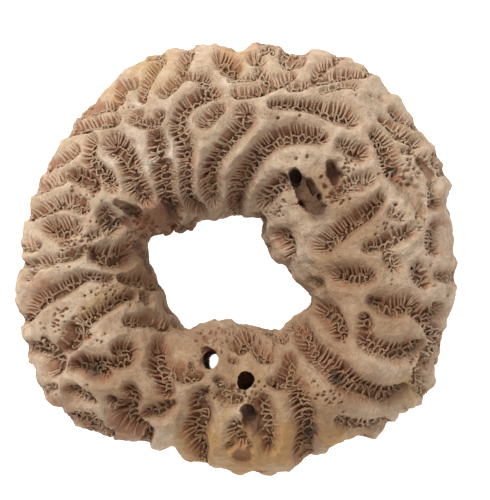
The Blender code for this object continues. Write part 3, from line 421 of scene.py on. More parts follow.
NEAR_RIGHT = read_lines("""
    2.8: 15.8 -17.3 2, 17.6 -20.6 2.2, 20 -23.6 2.4, 22.5 -25.8 2.6, 25.2 -28.2 2.9, 27.6 -30.8 2.8,
        30 -33 2.6, 32.6 -34.3 2.8, 35.3 -35.2 2.9, 38.2 -35.7 2.9, 40.6 -35 2.2, 42.6 -33 1.3;
    3: 13.6 -24.6 1.4, 13.6 -26.2 1.8, 13.2 -28 2, 13 -30.2 2.7, 15.3 -32.4 2.2, 15.9 -34.6 2.2,
        16.8 -37 2.6, 17.8 -39.6 2.8, 18.1 -42.2 2.6, 18.3 -45 3, 18.3 -47.6 3.2, 18 -50 3;
    2.4: 13 -30.4 2.2, 11.3 -31.2 2, 9.6 -31.3 1.3;
    2.6: 32.3 -20.2 2.2, 34 -21.8 2.3, 36.4 -22.9 2.3, 38.8 -24 2.5, 41.2 -24.3 2.6, 43.6 -23.7 2.6,
        45.6 -22.6 1.8, 46.8 -21.4 1;
    1.6: 51.2 -21.3 1.4, 49.6 -23.7 2.1, 48.2 -26.2 1.7;
    1.2: 46 -29.5 1.3, 46 -31.5 1.5, 46.4 -33.6 1.7;
    2: 26.3 -41.3 1.4, 28.4 -42.6 2.1, 31 -43.1 2.1, 33.5 -43.2 2.1, 35.6 -42.4 1.6, 37.8 -41.2 0.9
""")

NEAR_MIDDLE = read_lines("""
    2.6: 6.7 -36.3 2, 7.4 -38.6 2.4, 8 -41.2 2.7, 8.4 -43.8 2.6, 8.7 -46 1.9, 8.4 -47.8 1.7;
    2.2: 1.6 -22.3 1.3, 1.9 -20.7 2.1, 2.9 -19.3 2.2, 4.3 -18.9 1.4;
    1.8: 6 -22.9 1.6, 7 -23.8 2, 8 -24.6 1.6;
    1.2: 10 -19.4 1.2, 12 -20.1 1.2;
    0.9: -0.9 -25.2 0.8, 0.5 -25.4 0.8;
    1.8: -4.3 -30.4 0.9, -3.2 -31.5 1.2, -2.4 -33 1.4, -2 -34.8 2.3, -0.9 -35.6 2, 1 -35.3 1;
    2: 0 -42.6 1.8, 0.2 -44.3 2.2, 1.2 -46 1.9;
    1.4: -0.7 -46.8 1.2, -1.6 -47.3 1;
    1.2: 2.6 -46.5 1, 3.6 -47.8 0.9;
    3.2: -18 -22.2 2.2, -18.4 -24.6 2.4, -18.5 -26.8 2.7, -18 -29 2.4, -17.6 -31.2 2, -17.3 -33.3 1.9;
    2.8: -16.6 -27.6 2.2, -14.6 -28.4 2.5, -12.6 -29.3 2, -10.6 -29.3 1.7, -9 -29.1 1;
    1.6: -11 -28 1, -11.2 -26.3 0.7;
    3: -7.7 -33.9 1.2, -8.6 -35 1.9, -8.7 -37 2.5, -8.2 -39.2 2.7, -8.6 -41.4 2.8, -9.8 -43.6 3.1,
        -9.6 -46 2.7, -8.9 -48.4 2.2, -8.5 -50.2 1.5
""")

NEAR_LEFT = read_lines("""
    2.8: -29.3 -22.9 1.6, -27.8 -22.6 1.9, -26.1 -23.2 2, -26.4 -25.2 1.9, -28 -26 1.9, -30 -26.6 1.5;
    3.8: -40.5 -27.6 1.8, -38.6 -27.6 2.6, -36.6 -27.9 3, -34.8 -28.3 2.8, -33.3 -29.2 2;
    2.4: -34.6 -26.3 1.6, -32.6 -26.5 1.6, -31 -26.7 1.3;
    3.6: -26 -33.6 1.9, -25.6 -35.4 2, -26.6 -37.2 2.4, -27.6 -39.2 2.9, -27.1 -41.2 2.8, -25.3 -42.8 2.2,
        -23.6 -44 1.8, -22 -45 1.3;
    2.2: -31.4 -35.6 1, -30 -37 1.6, -28.6 -38 2;
    2.6: -16.8 -37.4 1.9, -18.2 -38.4 2.5, -20.2 -39.2 2.4, -22.2 -39.6 1.6;
    1.8: -42 -33.2 0.9, -40.2 -34 1.6, -38.4 -35 1.6, -36.8 -35.8 1.3, -35.6 -36.6 0.8;
    1.8: -42.3 -40 0.9, -40 -40.5 1.5, -38 -41.2 2, -36 -41.8 2.1, -34.3 -42.2 1.5;
    0.9: -32.2 -43.2 0.8, -30.8 -44.2 0.9;
    1: -47.5 -33.1 1.3, -45.6 -32.6 1.2;
    2.2: -53.2 -22 1.2, -50.8 -23 1.9, -48.4 -23.6 2.3, -46.2 -24.6 2.8, -45.2 -26.4 2.6, -45.4 -28.4 1.8;
    2.6: -41 -17.6 1.5, -40.4 -19.6 2.3, -41.6 -21.8 2.1, -43.2 -22.7 1.8
""")
VALLEYS = (
    FAR_LEFT + FAR_MIDDLE + FAR_RIGHT + LEFT_SIDE
    + RIGHT_SIDE + NEAR_RIGHT + NEAR_MIDDLE + NEAR_LEFT
)

# Worn hollows: depth, share of the half-width that is floor, where the deepest part lies off the middle,
# and the line as for the valleys
HOLLOWS = [
    (2.2, 0.35, (0.0, 0.0), "39.7 21.8 2.2, 41.5 19.2 2.6, 44 16.5 2.8, 46 13.3 2.4, 46.8 11.2 1.3"),
    (2.4, 0.35, (0.0, 0.0), "46 24 1.4, 49 20.5 1.4"),
    (3.4, 0.75, (-0.1, 0.0), "14.9 20.6 1.7, 16.4 18 2.5, 17.6 15.8 2.6, 19.3 13.6 2.7, 20.6 12.4 2"),
    (5.8, 0.55, (0.2, 0.1), "14.6 21 1.5, 15 18.7 1.5"),
    (5.4, 0.4, (0.4, 0.0), "18.4 19.2 0.8, 19 17.8 1.1, 19.6 16.2 0.9"),
    (4.6, 0.4, (0.0, 0.0), "16.3 13.9 0.9, 17.2 13 0.8"),
    (4.4, 0.4, (0.0, 0.0), "20.9 15.5 0.8, 21.3 14.8 0.7"),
    (4.8, 0.3, (-0.35, -0.1), "24.2 23.2 1.8, 24.7 21.3 2.2, 25.3 19.2 1.4"),
    (3.2, 0.1, (-0.5, 0.0), "25 22.9 2.3, 25.4 20.8 2.3"),
    (5.0, 0.65, (0.0, 0.0), "3.5 -38.9 1.9, 3.6 -39.7 2"),
    (1.9, 0.5, (0.0, 0.25), "0.6 -49.6 1.6, 2.4 -49.7 1.7"),
    (1.6, 0.3, (0.0, 0.0), "-12 -18 1.5, -8 -18.8 1.8, -5 -17.5 1.8"),
    (6.5, 0.05, (0.5, 0.0), "-6.7 -24.3 2.3, -6.5 -25.3 2.3"),
    (2.6, 0.5, (0.1, -0.1), "-29.8 13.7 0.8, -28.2 12.9 1.4"),
    (3.4, 0.55, (0.2, 0.0), "-27.4 12.4 1.5, -24.9 11.4 1.7"),
    (4.9, 0.3, (0.0, 0.0), "-25.2 11.2 0.8, -24.5 11.4 0.7"),
    (4.1, 0.3, (0.0, 0.0), "-27.9 12.6 0.7, -27.1 12.4 0.6"),
    (2.6, 0.3, (0.0, 0.3), "-26 8.6 2.6, -21.5 8.8 3.4, -17.5 9.4 3, -14.5 9.6 2.2"),
    (2.6, 0.35, (0.0, 0.2), "-17.8 12 1.3, -15.6 12.2 1.8, -13.6 11.4 1.2"),
    (1.8, 0.3, (0.0, 0.0), "-24 2.6 0.9, -22.8 1 1"),
    (2.6, 0.3, (0.2, 0.0), "-48.2 -20.6 1.3, -47 -21.4 1.3"),
]

# Holes of boring animals: mouth (x, y) and height, end (x, y) and height, radius at the mouth and at the end
BORES = [
    ((-6.3, -23.6), 42.0, (-4.5, -27.6), -4.0, 1.95, 2.35),
    ((2.5, -28.5), 42.0, (2.5, -30.0), 24.0, 2.25, 2.1),
    ((4.0, -46.6), 42.0, (3.6, -36.6), 33.0, 2.6, 2.2),
    ((14.3, 19.2), 42.0, (14.7, 19.8), 27.0, 1.6, 1.5),
]

# Open pores: x, y and radius
PORES = read_line("""
    24.9 38.8 0.45, 34 40.6 0.4, 36 40.2 0.4, 30.3 40.8 0.4, 43 24.5 0.5, 10.7 35 0.55, 16.1 35.6 0.5,
    15.1 24.8 0.55, 17.9 25.3 0.55, 21.4 20.2 0.65, 22.4 17.8 0.75, 35.9 21 0.45, 15.1 13.3 0.4,
    21 15.9 0.5, 16.5 13.8 0.75, 24 16 0.6, 26.1 16.5 0.8, 28.3 17.6 0.75, 28.8 19.3 0.6, 25 14.3 0.5,
    -36.2 9.1 0.4, -34.5 9.1 0.4, -36.8 12 0.35, -33.4 14.2 0.35, -48.9 -16.5 0.45, -48 -17.7 0.5,
    -43.8 -13.7 0.4, -22.4 9.9 0.5, -22.6 8.8 0.45, -20.9 8.9 0.5, -19.9 8 0.4, -19 7.5 0.42,
    -18.1 6.7 0.35, -22.4 5.5 0.4, -27 5.5 0.4, -22.4 -1.5 0.35, -28.6 9.8 0.5, -27.8 8.1 0.7, 6 11 0.5,
    7.5 11.2 0.45, 10.2 11.5 0.45, 7 8.3 0.5, 40.3 13.5 0.6, 47.9 0.7 0.4, 48.9 -1.9 0.35, 50.1 -7.1 0.35,
    39.1 -5.5 0.35, 39 -6.6 0.35, 53.2 -9.5 0.35, -36 -8.5 0.45, -34.8 -9.3 0.4, -37.7 -9.5 0.5,
    -45.5 -2.3 0.35, -44.5 -2.3 0.35, -41.5 -2.3 0.35, -0.2 -25.3 0.7, 13.7 -23 0.55, 27 -20.9 0.4,
    25 -35.3 0.45, 26.6 -36.2 0.45, 27 -38.7 0.4, 47.5 -29.8 0.35, 46.5 -31.3 0.35, 47.2 -33.3 0.35,
    -47 -33.6 0.4, -45 -34.3 0.35, -33.5 -21 0.45, -32.5 -19 0.4, -40 -32.3 0.45, -26.3 11.2 0.5,
    -25.2 12.4 0.45, -28.7 12.6 0.45, -26 12.9 0.4, -24.2 10.6 0.4, -16.5 8.4 0.45, -15.2 6.9 0.4,
    -13.8 7.9 0.4, -17.2 9.8 0.4, -19.6 5.6 0.4, -37.3 -32.1 0.5, 42.6 -37.7 0.35, 43.6 -37.7 0.35,
    -28.2 37.7 0.4, -27 38 0.4, -25.8 38 0.35, -37.9 -12.7 0.6, -34.5 -20.6 0.4
""")

# Worn patches that are pitted all over: x, y and radius
PITTED = read_line("""
    -38 17 3, -41 4 4, -36.5 3 2.5, -25.5 -8.5 3.5, -2.5 -20.5 3.5, -7 -20 3, 3 -20.5 2.5, 20 -33 2.5,
    24.5 -34.5 2.5, 43 21 3, 46 23.5 2.5, 46 -30.5 3, 47 -27 2.5, 27 16.5 3, 24 14 2, -23 7.5 4, -5 -33 2.5,
    0.5 -33.5 2.5, 6.5 -33 2.5, 3.5 -35 2.2, 8 -21.5 2.5, -43 -16 3.5, -32 -8 2.5, -25 5 3, 37 6.5 3,
    45 9 3, 10.5 12.5 2.5, 28 22.5 2.5, -8.5 -24.5 2, 12 -18 2
""")

# Stains, worn patches and patches of painted shade: what they are, then their places as x, y and radius
STAIN_AND_SHADE_PATCHES = {
    "grey": read_line("""
        -26 42 3.5, 33 38 4.5, 36.5 35.5 3, -47 2.5 2.5, -34 14 3.5, 20 27 3, 13 -35.5 3.5, -9 46 3,
        -17.5 30 4, 25.6 -31 3, 19.5 16 3, 45 13.5 3.5, 43.5 17 3, -31 33 3, -4 33 2.5, -12.5 9.8 1.8,
        -15.5 9.6 1.6
    """),
    "ochre": read_line("""
        -35 -11 5, -37.5 -13.5 3, 3 -47 8, -12 -44 6, 10 -48 7, -12 -38 4, 4 -31 6, -20 47 8, 0 51 6,
        43 -33 6, 30 -43 5, 2 -24 4, -30 41 4, -4 -41 4, 5 -43 3, 9 -37 6, -4 -35 5, 14 -45 6, -8 -46 5,
        14 -29 5, 2 -31 6, -30 -10 4, 4.6 -42.4 2.8, 21 -40 6, 18 -33 4
    """),
    "amber": read_line("""
        3 -49 9, -8 -47 8, 13 -46.5 8, 4 -42 5, 24 -45 5
    """),
    "rust": read_line("""
        -29 -22.5 2.5, -27 -40 3.5, -36 -28 4, -37 -41 4, -30 -44 5, -48 -8 5, -44 -38 5, 1.5 -49.6 2.6,
        -27.5 -35.5 2.5, -42 -33 3, 51 9 2.6, 50 13 2, 24 22 2.2, -23 7.5 5, -17.5 7.5 3.5, -24.5 2 3.5,
        -40.5 -19.5 2.5, -20 11.5 3, -10.5 8 2
    """),
    # Painted shade round the hole, where the inner flanks lie in shade, with some of the coral's own
    # browning
    "inner_shade_and_browning": read_line("""
        -23 -6 11, -20 -20 13, -6 -27 14, 9 -27 14, 22 -18 13, 27 -4 13, 30 8 10, 36 -14 12, 28 -32 10,
        -30 -30 10, 22 16 9, 20 -37 10, -19 -36 9
    """),
    # Painted shade in the hollows, bores and deep valleys
    "painted_hollow_shade": read_line("""
        17 17.5 3, 19 14.5 3.5, 20.5 12 3.2, -26.6 12 2, -31.3 8.6 1.6, -15.5 11.6 2.6, -22.8 1 1.3,
        -24.3 3 1.2, 3.5 -40 2.8, 4.8 -42.6 2.6, -36 -28.5 3, 40 22 1.5, 24.6 21.6 2.4
    """),
    "chalk": read_line("""
        48 14 1.6, 49.5 10.5 1.6, 51 18.5 1.2, 48.2 16.6 1.2, -36 -3.5 2.5, -2 44 1.8, -19 -14 2, 16 0 3.5,
        -24.5 38.5 2, -26 29 6, -17 27 5, -22 24 4, -31 26 4
    """),
    # Painted shadow deep in the bores, hollows and deepest valleys
    "painted_deep_shade": read_line("""
        15.2 20.2 2.4, 25.4 -30.2 2.2, 19 -44 2.6, -16 12 1.6, 3.6 -38.4 1.8, -35.5 -29 1.6
    """),
}

# Colours, as sRGB
# The crests' own paler cream, with a painted highlight along them
CREST_HIGHLIGHT_CREAM = (211, 189, 165)
CREAM = (201, 177, 151)
PINK = (196, 165, 142)
TAN = (182, 151, 121)
WALL_BROWN = (162, 112, 83)
# Painted shade of the deepest places, over the walls' own brown
DEEP_SHADE_BROWN = (120, 76, 55)
OLIVE = (168, 146, 112)
STAIN_AND_SHADE_COLOURS = {
    "grey": (182, 163, 137),
    "ochre": (194, 162, 116),
    "amber": (188, 143, 88),
    "chalk": (226, 209, 189),
    "rust": (164, 120, 90),
    # Painted shade round the hole, with some of the coral's own browning
    "inner_shade_and_browning": (164, 130, 98),
    # Painted shade of the hollows, bores and deep valleys
    "painted_hollow_shade": (96, 75, 59),
    # Painted shadow of the deepest places
    "painted_deep_shade": (70, 56, 47),
}

# How far patchy noise breaks up each kind of stain and painted shade: the noise at which it starts, and at
# which it is full
STAIN_AND_SHADE_BREAKS = {
    "grey": (0.25, 0.65),
    "ochre": (0.25, 0.65),
    "amber": (-0.35, 0.25),
    "chalk": (0.30, 0.60),
    "rust": (0.15, 0.55),
    "inner_shade_and_browning": (-0.10, 0.50),
    "painted_hollow_shade": (0.00, 0.35),
    "painted_deep_shade": (0.00, 0.30),
}
STAIN_AND_SHADE_STRENGTH = 0.8

# Shares of a patch's radius between which its colour fades out, for stains and painted shade alike
STAIN_AND_SHADE_CORE = 0.35
STAIN_AND_SHADE_REACH = 1.15

# Painted shade of the hollows, bores and deepest valleys, which lies over the brown of the walls
OVER_THE_WALLS = ("painted_hollow_shade", "painted_deep_shade")

# Colours of the shades in the grain, as shares of light that are left, and of the floor
GRAIN_SHADE = (0.50, 0.44, 0.38, 1.0)
SPECKLE_SHADE = (0.60, 0.56, 0.52, 1.0)
WHITE = (1.0, 1.0, 1.0, 1.0)
FLOOR_COLOUR = (240, 239, 236)


def smoothstep(low, high, value):
    """Rises from 0 to 1 as value goes from low to high, which may be the larger of the two."""
    t = np.clip((value - low) / (high - low), 0.0, 1.0)
    return t * t * (3.0 - 2.0 * t)


def swells(points, size, seed):
    """Smooth random values between -1 and 1 that rise and fall over about the given size."""
    values = np.random.default_rng(seed).uniform(-1.0, 1.0, (LATTICE, LATTICE, LATTICE))
    scaled = points / size
    cell = np.floor(scaled).astype(int)
    share = scaled - cell
    share = share * share * (3.0 - 2.0 * share)
    total = np.zeros(len(points))
    for corner in itertools.product((0, 1), repeat=3):
        weight = np.prod(np.where(corner, share, 1.0 - share), axis=1)
        at = (cell + corner) % LATTICE
        total += weight * values[at[:, 0], at[:, 1], at[:, 2]]
    return total


def polar_outline(points):
    """Angles and radii of an outline about the ring's centre, in order of angle."""
    offsets = np.array(points) - np.array(RING_CENTRE)
    angles = np.arctan2(offsets[:, 1], offsets[:, 0])
    order = np.argsort(angles)
    return angles[order], np.hypot(offsets[order, 0], offsets[order, 1])


def outline_radius(points, theta, smoothing=0.0):
    """Radius of an outline at each angle, averaged over about the given angle in degrees."""
    angles, radii = polar_outline(points)
    even = np.linspace(-math.pi, math.pi, 720, endpoint=False)
    values = np.interp(even, angles, radii, period=2.0 * math.pi)
    if smoothing:
        spread = np.exp(-0.5 * (np.degrees(even) / smoothing) ** 2)
        spectrum = np.fft.fft(np.fft.ifftshift(spread / spread.sum()))
        values = np.real(np.fft.ifft(np.fft.fft(values) * spectrum))
    return np.interp(theta, even, values, period=2.0 * math.pi)


def rim_travel(points):
    """Angles round an outline, and the distance along it to each."""
    even = np.linspace(0.0, 2.0 * math.pi, 721)
    radius = outline_radius(points, even, RIM_SMOOTHING)
    corners = np.column_stack((radius * np.cos(even), radius * np.sin(even)))
    steps = np.hypot(*np.diff(corners, axis=0).T)
    return even, np.concatenate(([0.0], np.cumsum(steps)))


def rim_distance(points, theta):
    """Distance along an outline from angle 0 to each angle, and its whole length."""
    even, travelled = rim_travel(points)
    return np.interp(np.mod(theta, 2.0 * math.pi), even, travelled), travelled[-1]


def near_side(y):
    """How much a place belongs to the near side, from 0 to 1."""
    return smoothstep(NEAR_SIDE[1], NEAR_SIDE[0], y)


def lumps(x, y, z):
    """Slow swells of the surface, about as wide as three ridges."""
    first = np.sin(0.31 * x + 0.9) * np.sin(0.27 * y - 0.4)
    second = np.sin(0.19 * x - 0.23 * y + 0.25 * z)
    return 0.5 * LUMP_HEIGHT * (first + second)


def ring_form(theta, phi):
    """Points of the ring before its valleys: theta runs round the ring and phi round its section."""
    across = np.cos(phi)
    up = np.sin(phi)
    power = 2.0 / np.where(up >= 0.0, UPPER_ROUNDNESS, LOWER_ROUNDNESS)
    side = np.sign(across) * np.abs(across) ** power
    rise = np.sign(up) * np.abs(up) ** power
    near_rim = np.abs(across) ** 4
    outer_smooth = outline_radius(OUTER_RIM, theta, RIM_SMOOTHING)
    inner_smooth = outline_radius(INNER_RIM, theta, RIM_SMOOTHING)
    outer = outer_smooth + near_rim * (outline_radius(OUTER_RIM, theta) - outer_smooth)
    inner = inner_smooth + near_rim * (outline_radius(INNER_RIM, theta) - inner_smooth)
    radius = 0.5 * (inner + outer) + 0.5 * (outer - inner) * side
    rim_height = INNER_RIM_HEIGHT + (OUTER_RIM_HEIGHT - INNER_RIM_HEIGHT) * 0.5 * (side + 1.0)
    reach = np.where(up >= 0.0, CREST_HEIGHT - rim_height, UNDERSIDE_DEPTH)
    x = RING_CENTRE[0] + radius * np.cos(theta)
    y = RING_CENTRE[1] + radius * np.sin(theta)
    z = rim_height + rise * reach
    z = np.maximum(z + np.maximum(up, 0.0) * lumps(x, y, z), 0.0)
    return np.column_stack((x, y, z)), rim_height


def seen_from_above(points):
    """Where each point appears on the plane of the rim, seen from the view point."""
    scale = (VIEW_HEIGHT - OUTER_RIM_HEIGHT) / (VIEW_HEIGHT - points[:, 2])
    centre = np.array(VIEW_POINT)
    return centre + (points[:, :2] - centre) * scale[:, None]


def travel(points):
    """Distance along a line at each of its points."""
    steps = np.linalg.norm(np.diff(points, axis=0), axis=1)
    return np.concatenate(([0.0], np.cumsum(steps)))


def headings(points):
    """Unit vectors along a line and to its left, at each of its points."""
    along = np.gradient(points, axis=0)
    along /= np.linalg.norm(along, axis=1)[:, None]
    return along, np.column_stack((-along[:, 1], along[:, 0]))


def smooth_line(line, step):
    """The same line (x, y, half-width and perhaps more) rounded through its points, in even steps."""
    line = np.array(line, dtype=float)
    padded = np.vstack((2.0 * line[0] - line[1], line, 2.0 * line[-1] - line[-2]))
    share = np.linspace(0.0, 1.0, 12, endpoint=False)[:, None]
    pieces = []
    for a, b, c, d in zip(padded, padded[1:], padded[2:], padded[3:]):
        cubic = (3.0 * b - a - 3.0 * c + d) * share ** 3 + (2.0 * a - 5.0 * b + 4.0 * c - d) * share ** 2
        pieces.append(0.5 * (2.0 * b + (c - a) * share + cubic))
    fine = np.vstack(pieces + [line[-1:]])
    travelled = travel(fine[:, :2])
    even = np.linspace(0.0, travelled[-1], max(3, round(travelled[-1] / step) + 1))
    return np.column_stack([np.interp(even, travelled, column) for column in fine.T])


def leaning(line):
    """The line with how far its deepest part lies off its middle in x and y, as shares of the half-width."""
    offset = line[:, :2] - np.array(RING_CENTRE)
    theta = np.arctan2(offset[:, 1], offset[:, 0])
    radius = np.hypot(offset[:, 0], offset[:, 1])
    outer = outline_radius(OUTER_RIM, theta, RIM_SMOOTHING)
    inner = outline_radius(INNER_RIM, theta, RIM_SMOOTHING)
    flank = np.clip((2.0 * radius - outer - inner) / (outer - inner), INNER_FLANK, 1.0)
    uphill = -flank[:, None] * offset / radius[:, None]
    return np.column_stack((line, UPHILL_LEAN * uphill + np.array(LEAN)))


def upright(line):
    """The line with its deepest part in its middle."""
    return np.column_stack((line, np.zeros((len(line), 2))))


def near_line(places, line, reach):
    """Places within reach of a line, how near its rim (1) or its deepest part (0), and the wall's width."""
    margin = reach * line[:, 2].max()
    low = line[:, :2].min(axis=0) - margin
    high = line[:, :2].max(axis=0) + margin
    inside = np.nonzero(np.all((places > low) & (places < high), axis=1))[0]
    nearest = np.full(len(inside), FAR_OFF)
    wall = np.ones(len(inside))
    for start, end in zip(line[:-1], line[1:]):
        along = end[:2] - start[:2]
        offset = places[inside] - start[:2]
        share = np.clip(offset @ along / (along @ along), 0.0, 1.0)[:, None]
        width = start[2] + share * (end[2] - start[2])
        normal = np.array((-along[1], along[0])) / np.linalg.norm(along)
        deepest = (start[3:] + share * (end[3:] - start[3:])) @ normal
        from_deepest = (offset - share * along) / width - deepest[:, None] * normal
        gap = np.maximum(np.linalg.norm(from_deepest, axis=1), 1e-6)
        slant = deepest * (from_deepest @ normal) / gap
        to_rim = np.sqrt(slant ** 2 + 1.0 - deepest ** 2) - slant
        wall = np.where(gap / to_rim < nearest, to_rim, wall)
        nearest = np.minimum(nearest, gap / to_rim)
    found = nearest < reach
    return inside[found], nearest[found], wall[found]


def over_rim(valleys, outline):
    """The valleys carried on past the outline where they end close to it, and the angles where they do."""
    angles, radii = polar_outline(outline)
    outward = 1.0 if outline is OUTER_RIM else -1.0
    carried = []
    crossings = []
    for deepest, line in valleys:
        line = list(line)
        for place, at in ((0, 0), (len(line), -1)):
            x, y, width = line[at]
            offset = (x - RING_CENTRE[0], y - RING_CENTRE[1])
            theta = math.atan2(offset[1], offset[0])
            gap = outward * (np.interp(theta, angles, radii, period=2.0 * math.pi) - math.hypot(*offset))
            if gap < OVER_RIM_REACH:
                step = outward * OVER_RIM_STEP / math.hypot(*offset)
                line.insert(place, (x + step * offset[0], y + step * offset[1], width))
                crossings.append(theta)
        carried.append((deepest, line))
    return carried, crossings


def wall_valleys(outline, crossings, rng):
    """Valleys down a wall, as distances along the rim and below it and half-widths, and the rim's length."""
    length = rim_distance(outline, 0.0)[1]
    known = sorted(float(rim_distance(outline, theta)[0]) for theta in crossings)
    known = [s for i, s in enumerate(known) if i == 0 or s - known[i - 1] > CROSSING_GAP * WALL_PITCH]
    starts = []
    for s, following in zip(known, known[1:] + [known[0] + length]):
        count = max(1, round((following - s) / WALL_PITCH))
        starts += [s + (following - s) * i / count for i in range(count)]
    valleys = []
    for s in starts:
        split = rng.uniform(*SPLIT_AT) if rng.random() < SPLIT_SHARE else None
        line = []
        top = WALL_VALLEY_TOP * rng.random()
        for i in range(math.ceil((OUTER_RIM_HEIGHT + 2.0 - top) / WALL_STEP)):
            t = top + WALL_STEP * i
            sway = WALL_SWAY * math.sin(0.5 * t + 0.21 * s) * min(1.0, abs(t) / 4.0)
            width = WALL_VALLEY_WIDTH * (1.0 + 0.15 * math.sin(1.3 * t + s))
            if split is not None and abs(t - split) < 0.5 * WALL_STEP:
                if len(line) > 1:
                    valleys.append((WALL_VALLEY_DEPTH, line))
                line = []
                continue
            line.append((s + sway, t, width))
        if len(line) > 1:
            valleys.append((WALL_VALLEY_DEPTH, line))
        if rng.random() < LINK_SHARE:
            t = rng.uniform(*LINK_AT)
            link = [(s, t, LINK_WIDTH), (s + WALL_PITCH, t + 1.0, LINK_WIDTH)]
            valleys.append((LINK_DEPTH * WALL_VALLEY_DEPTH, link))
    return valleys, length


def edge_profile(q):
    """Depth of the septa's upper edges, as a share of the valley's: round shoulders, then a slope."""
    shoulder = SHOULDER_SHARE * (1.0 - smoothstep(SHOULDER_FROM, SHOULDER_REACH, q))
    return shoulder + EDGE_SHARE * np.clip((EDGE_LIP - q) / (EDGE_LIP - EDGE_FOOT), 0.0, 1.0)


def groove_depth(q, deepest, wall):
    """Depth of the grooves between the septa, below the septa's edges: less on a valley's shorter wall."""
    most = min(max(GROOVE_SHARE * deepest, GROOVE_LIMITS[0]), GROOVE_LIMITS[1])
    share = SHORT_WALL_SHARE + (1.0 - SHORT_WALL_SHARE) * smoothstep(*SHORT_WALL, wall)
    share = np.where(q < MIDDLE_BAND[0], 1.0 - MIDDLE_RISE * smoothstep(*MIDDLE_BAND, q), share)
    return most * share * smoothstep(GROOVE_LIP, GROOVE_FOOT, q)


def near_valleys(places, valleys, length):
    """Each valley's depth and the places near it. On a wall, distances run round the rim's length."""
    for deepest, line in valleys:
        local = places
        if length is not None:
            middle = line[0, 0]
            along = middle + np.mod(places[:, 0] - middle + 0.5 * length, length) - 0.5 * length
            local = np.column_stack((along, places[:, 1]))
        yield deepest, near_line(local, line, SHOULDER_REACH)


def closest_valley(places, valleys, length):
    """Nearness of each place to the closest valley: 0 on its deepest line, 1 on its rim."""
    closest = np.full(len(places), FAR_OFF)
    for _, (inside, q, _) in near_valleys(places, valleys, length):
        closest[inside] = np.minimum(closest[inside], q)
    return closest


def valley_fields(places, valleys, length, wander):
    """Depths of the bed, of the septa's edges and of the colour, and nearness to the closest valley."""
    fields = np.zeros((3, len(places)))
    closest = np.full(len(places), FAR_OFF)
    for deepest, (inside, q, wall) in near_valleys(places, valleys, length):
        q = q * (1.0 + LIP_WANDER * wander[inside])
        edge = DEPTH_SCALE * deepest * edge_profile(q)
        bed = edge + groove_depth(q, DEPTH_SCALE * deepest, wall)
        short = smoothstep(SHORT_WALL[1], SHORT_WALL[0], wall)
        pale = (1.0 - SHORT_WALL_TINT) * short * smoothstep(*SHORT_WALL_PALE, q)
        fields[:, inside] = np.maximum(fields[:, inside], (bed, edge, bed * (1.0 - pale)))
        closest[inside] = np.minimum(closest[inside], q)
    return fields, closest


def hollow_field(seen, wander):
    """Depth of the worn hollows at each place."""
    depth = np.zeros(len(seen))
    for deepest, floor, lean, line in HOLLOWS:
        line = np.array(read_line(line))
        line = np.column_stack((line, np.tile(lean, (len(line), 1))))
        inside, q, _ = near_line(seen, line, HOLLOW_REACH)
        q = q * (1.0 + HOLLOW_WANDER * wander[inside])
        depth[inside] = np.maximum(depth[inside], deepest * (1.0 - smoothstep(floor, HOLLOW_LIP, q)))
    return depth


def all_pores():
    """Every pore as (x, y, radius): the single ones, and rows of smaller ones over the pitted patches."""
    draw = np.random.default_rng(SEED)
    pores = list(PORES)
    for x, y, radius in PITTED:
        count = int(radius / PATCH_PORE_STEP) + 1
        for i, j in itertools.product(range(-count, count + 1), repeat=2):
            shift = np.array((i + 0.5 * (j % 2), HEXAGON * j)) * PATCH_PORE_STEP
            shift = shift + draw.normal(size=2) * PATCH_PORE_SCATTER
            if np.linalg.norm(shift) < radius and draw.random() < PATCH_PORE_SHARE:
                pores.append((x + shift[0], y + shift[1], draw.uniform(*PATCH_PORE_RADII)))
    return pores


def pore_field(seen):
    """Depth of the pores at each place: soft oval pits."""
    draw = np.random.default_rng(SEED + 1)
    order = np.argsort(seen[:, 0])
    across = seen[order, 0]
    depth = np.zeros(len(seen))
    for x, y, radius in all_pores():
        turn = draw.uniform(0.0, math.pi)
        stretch = draw.uniform(*PORE_STRETCH)
        reach = radius * stretch
        some = order[np.searchsorted(across, x - reach):np.searchsorted(across, x + reach)]
        offset = seen[some] - (x, y)
        along = offset @ (math.cos(turn), math.sin(turn)) / stretch
        sideways = offset @ (-math.sin(turn), math.cos(turn))
        q = np.hypot(along, sideways) / radius
        depth[some] = np.maximum(depth[some], PORE_STEEPNESS * radius * (1.0 - smoothstep(0.25, 1.0, q)))
    return depth


def new_piece(name, points, faces):
    """A mesh object from points in millimetres and faces that all have the same number of corners."""
    faces = np.asarray(faces, dtype=np.int32)
    mesh = bpy.data.meshes.new(name)
    mesh.vertices.add(len(points))
    mesh.vertices.foreach_set("co", (np.asarray(points) * MM).astype(np.float32).ravel())
    mesh.loops.add(faces.size)
    mesh.loops.foreach_set("vertex_index", faces.ravel())
    mesh.polygons.add(len(faces))
    mesh.polygons.foreach_set("loop_start", np.arange(len(faces), dtype=np.int32) * faces.shape[1])
    mesh.update(calc_edges=True)
    mesh.validate()
    piece = bpy.data.objects.new(name, mesh)
    bpy.context.scene.collection.objects.link(piece)
    return piece


def give_values(piece, values):
    """Named numbers on a piece's points, which its material reads."""
    for name, numbers in values.items():
        attribute = piece.data.attributes.new(name, "FLOAT", "POINT")
        attribute.data.foreach_set("value", np.asarray(numbers, dtype=np.float32))


def grid_faces():
    """Four-sided faces of the ring's grid, which closes both ways."""
    i = np.arange(SEGMENTS_AROUND)[:, None]
    j = np.arange(SEGMENTS_ACROSS)[None, :]
    after_i = (i + 1) % SEGMENTS_AROUND
    after_j = (j + 1) % SEGMENTS_ACROSS
    corners = (
        i * SEGMENTS_ACROSS + j,
        after_i * SEGMENTS_ACROSS + j,
        after_i * SEGMENTS_ACROSS + after_j,
        i * SEGMENTS_ACROSS + after_j,
    )
    return np.stack(corners, axis=-1).reshape(-1, 4)


def rim_keep(up):
    """Share of the valleys' depth that is kept near the rims."""
    return RIM_KEEP + (1.0 - RIM_KEEP) * smoothstep(0.0, RIM_BAND, np.abs(up))


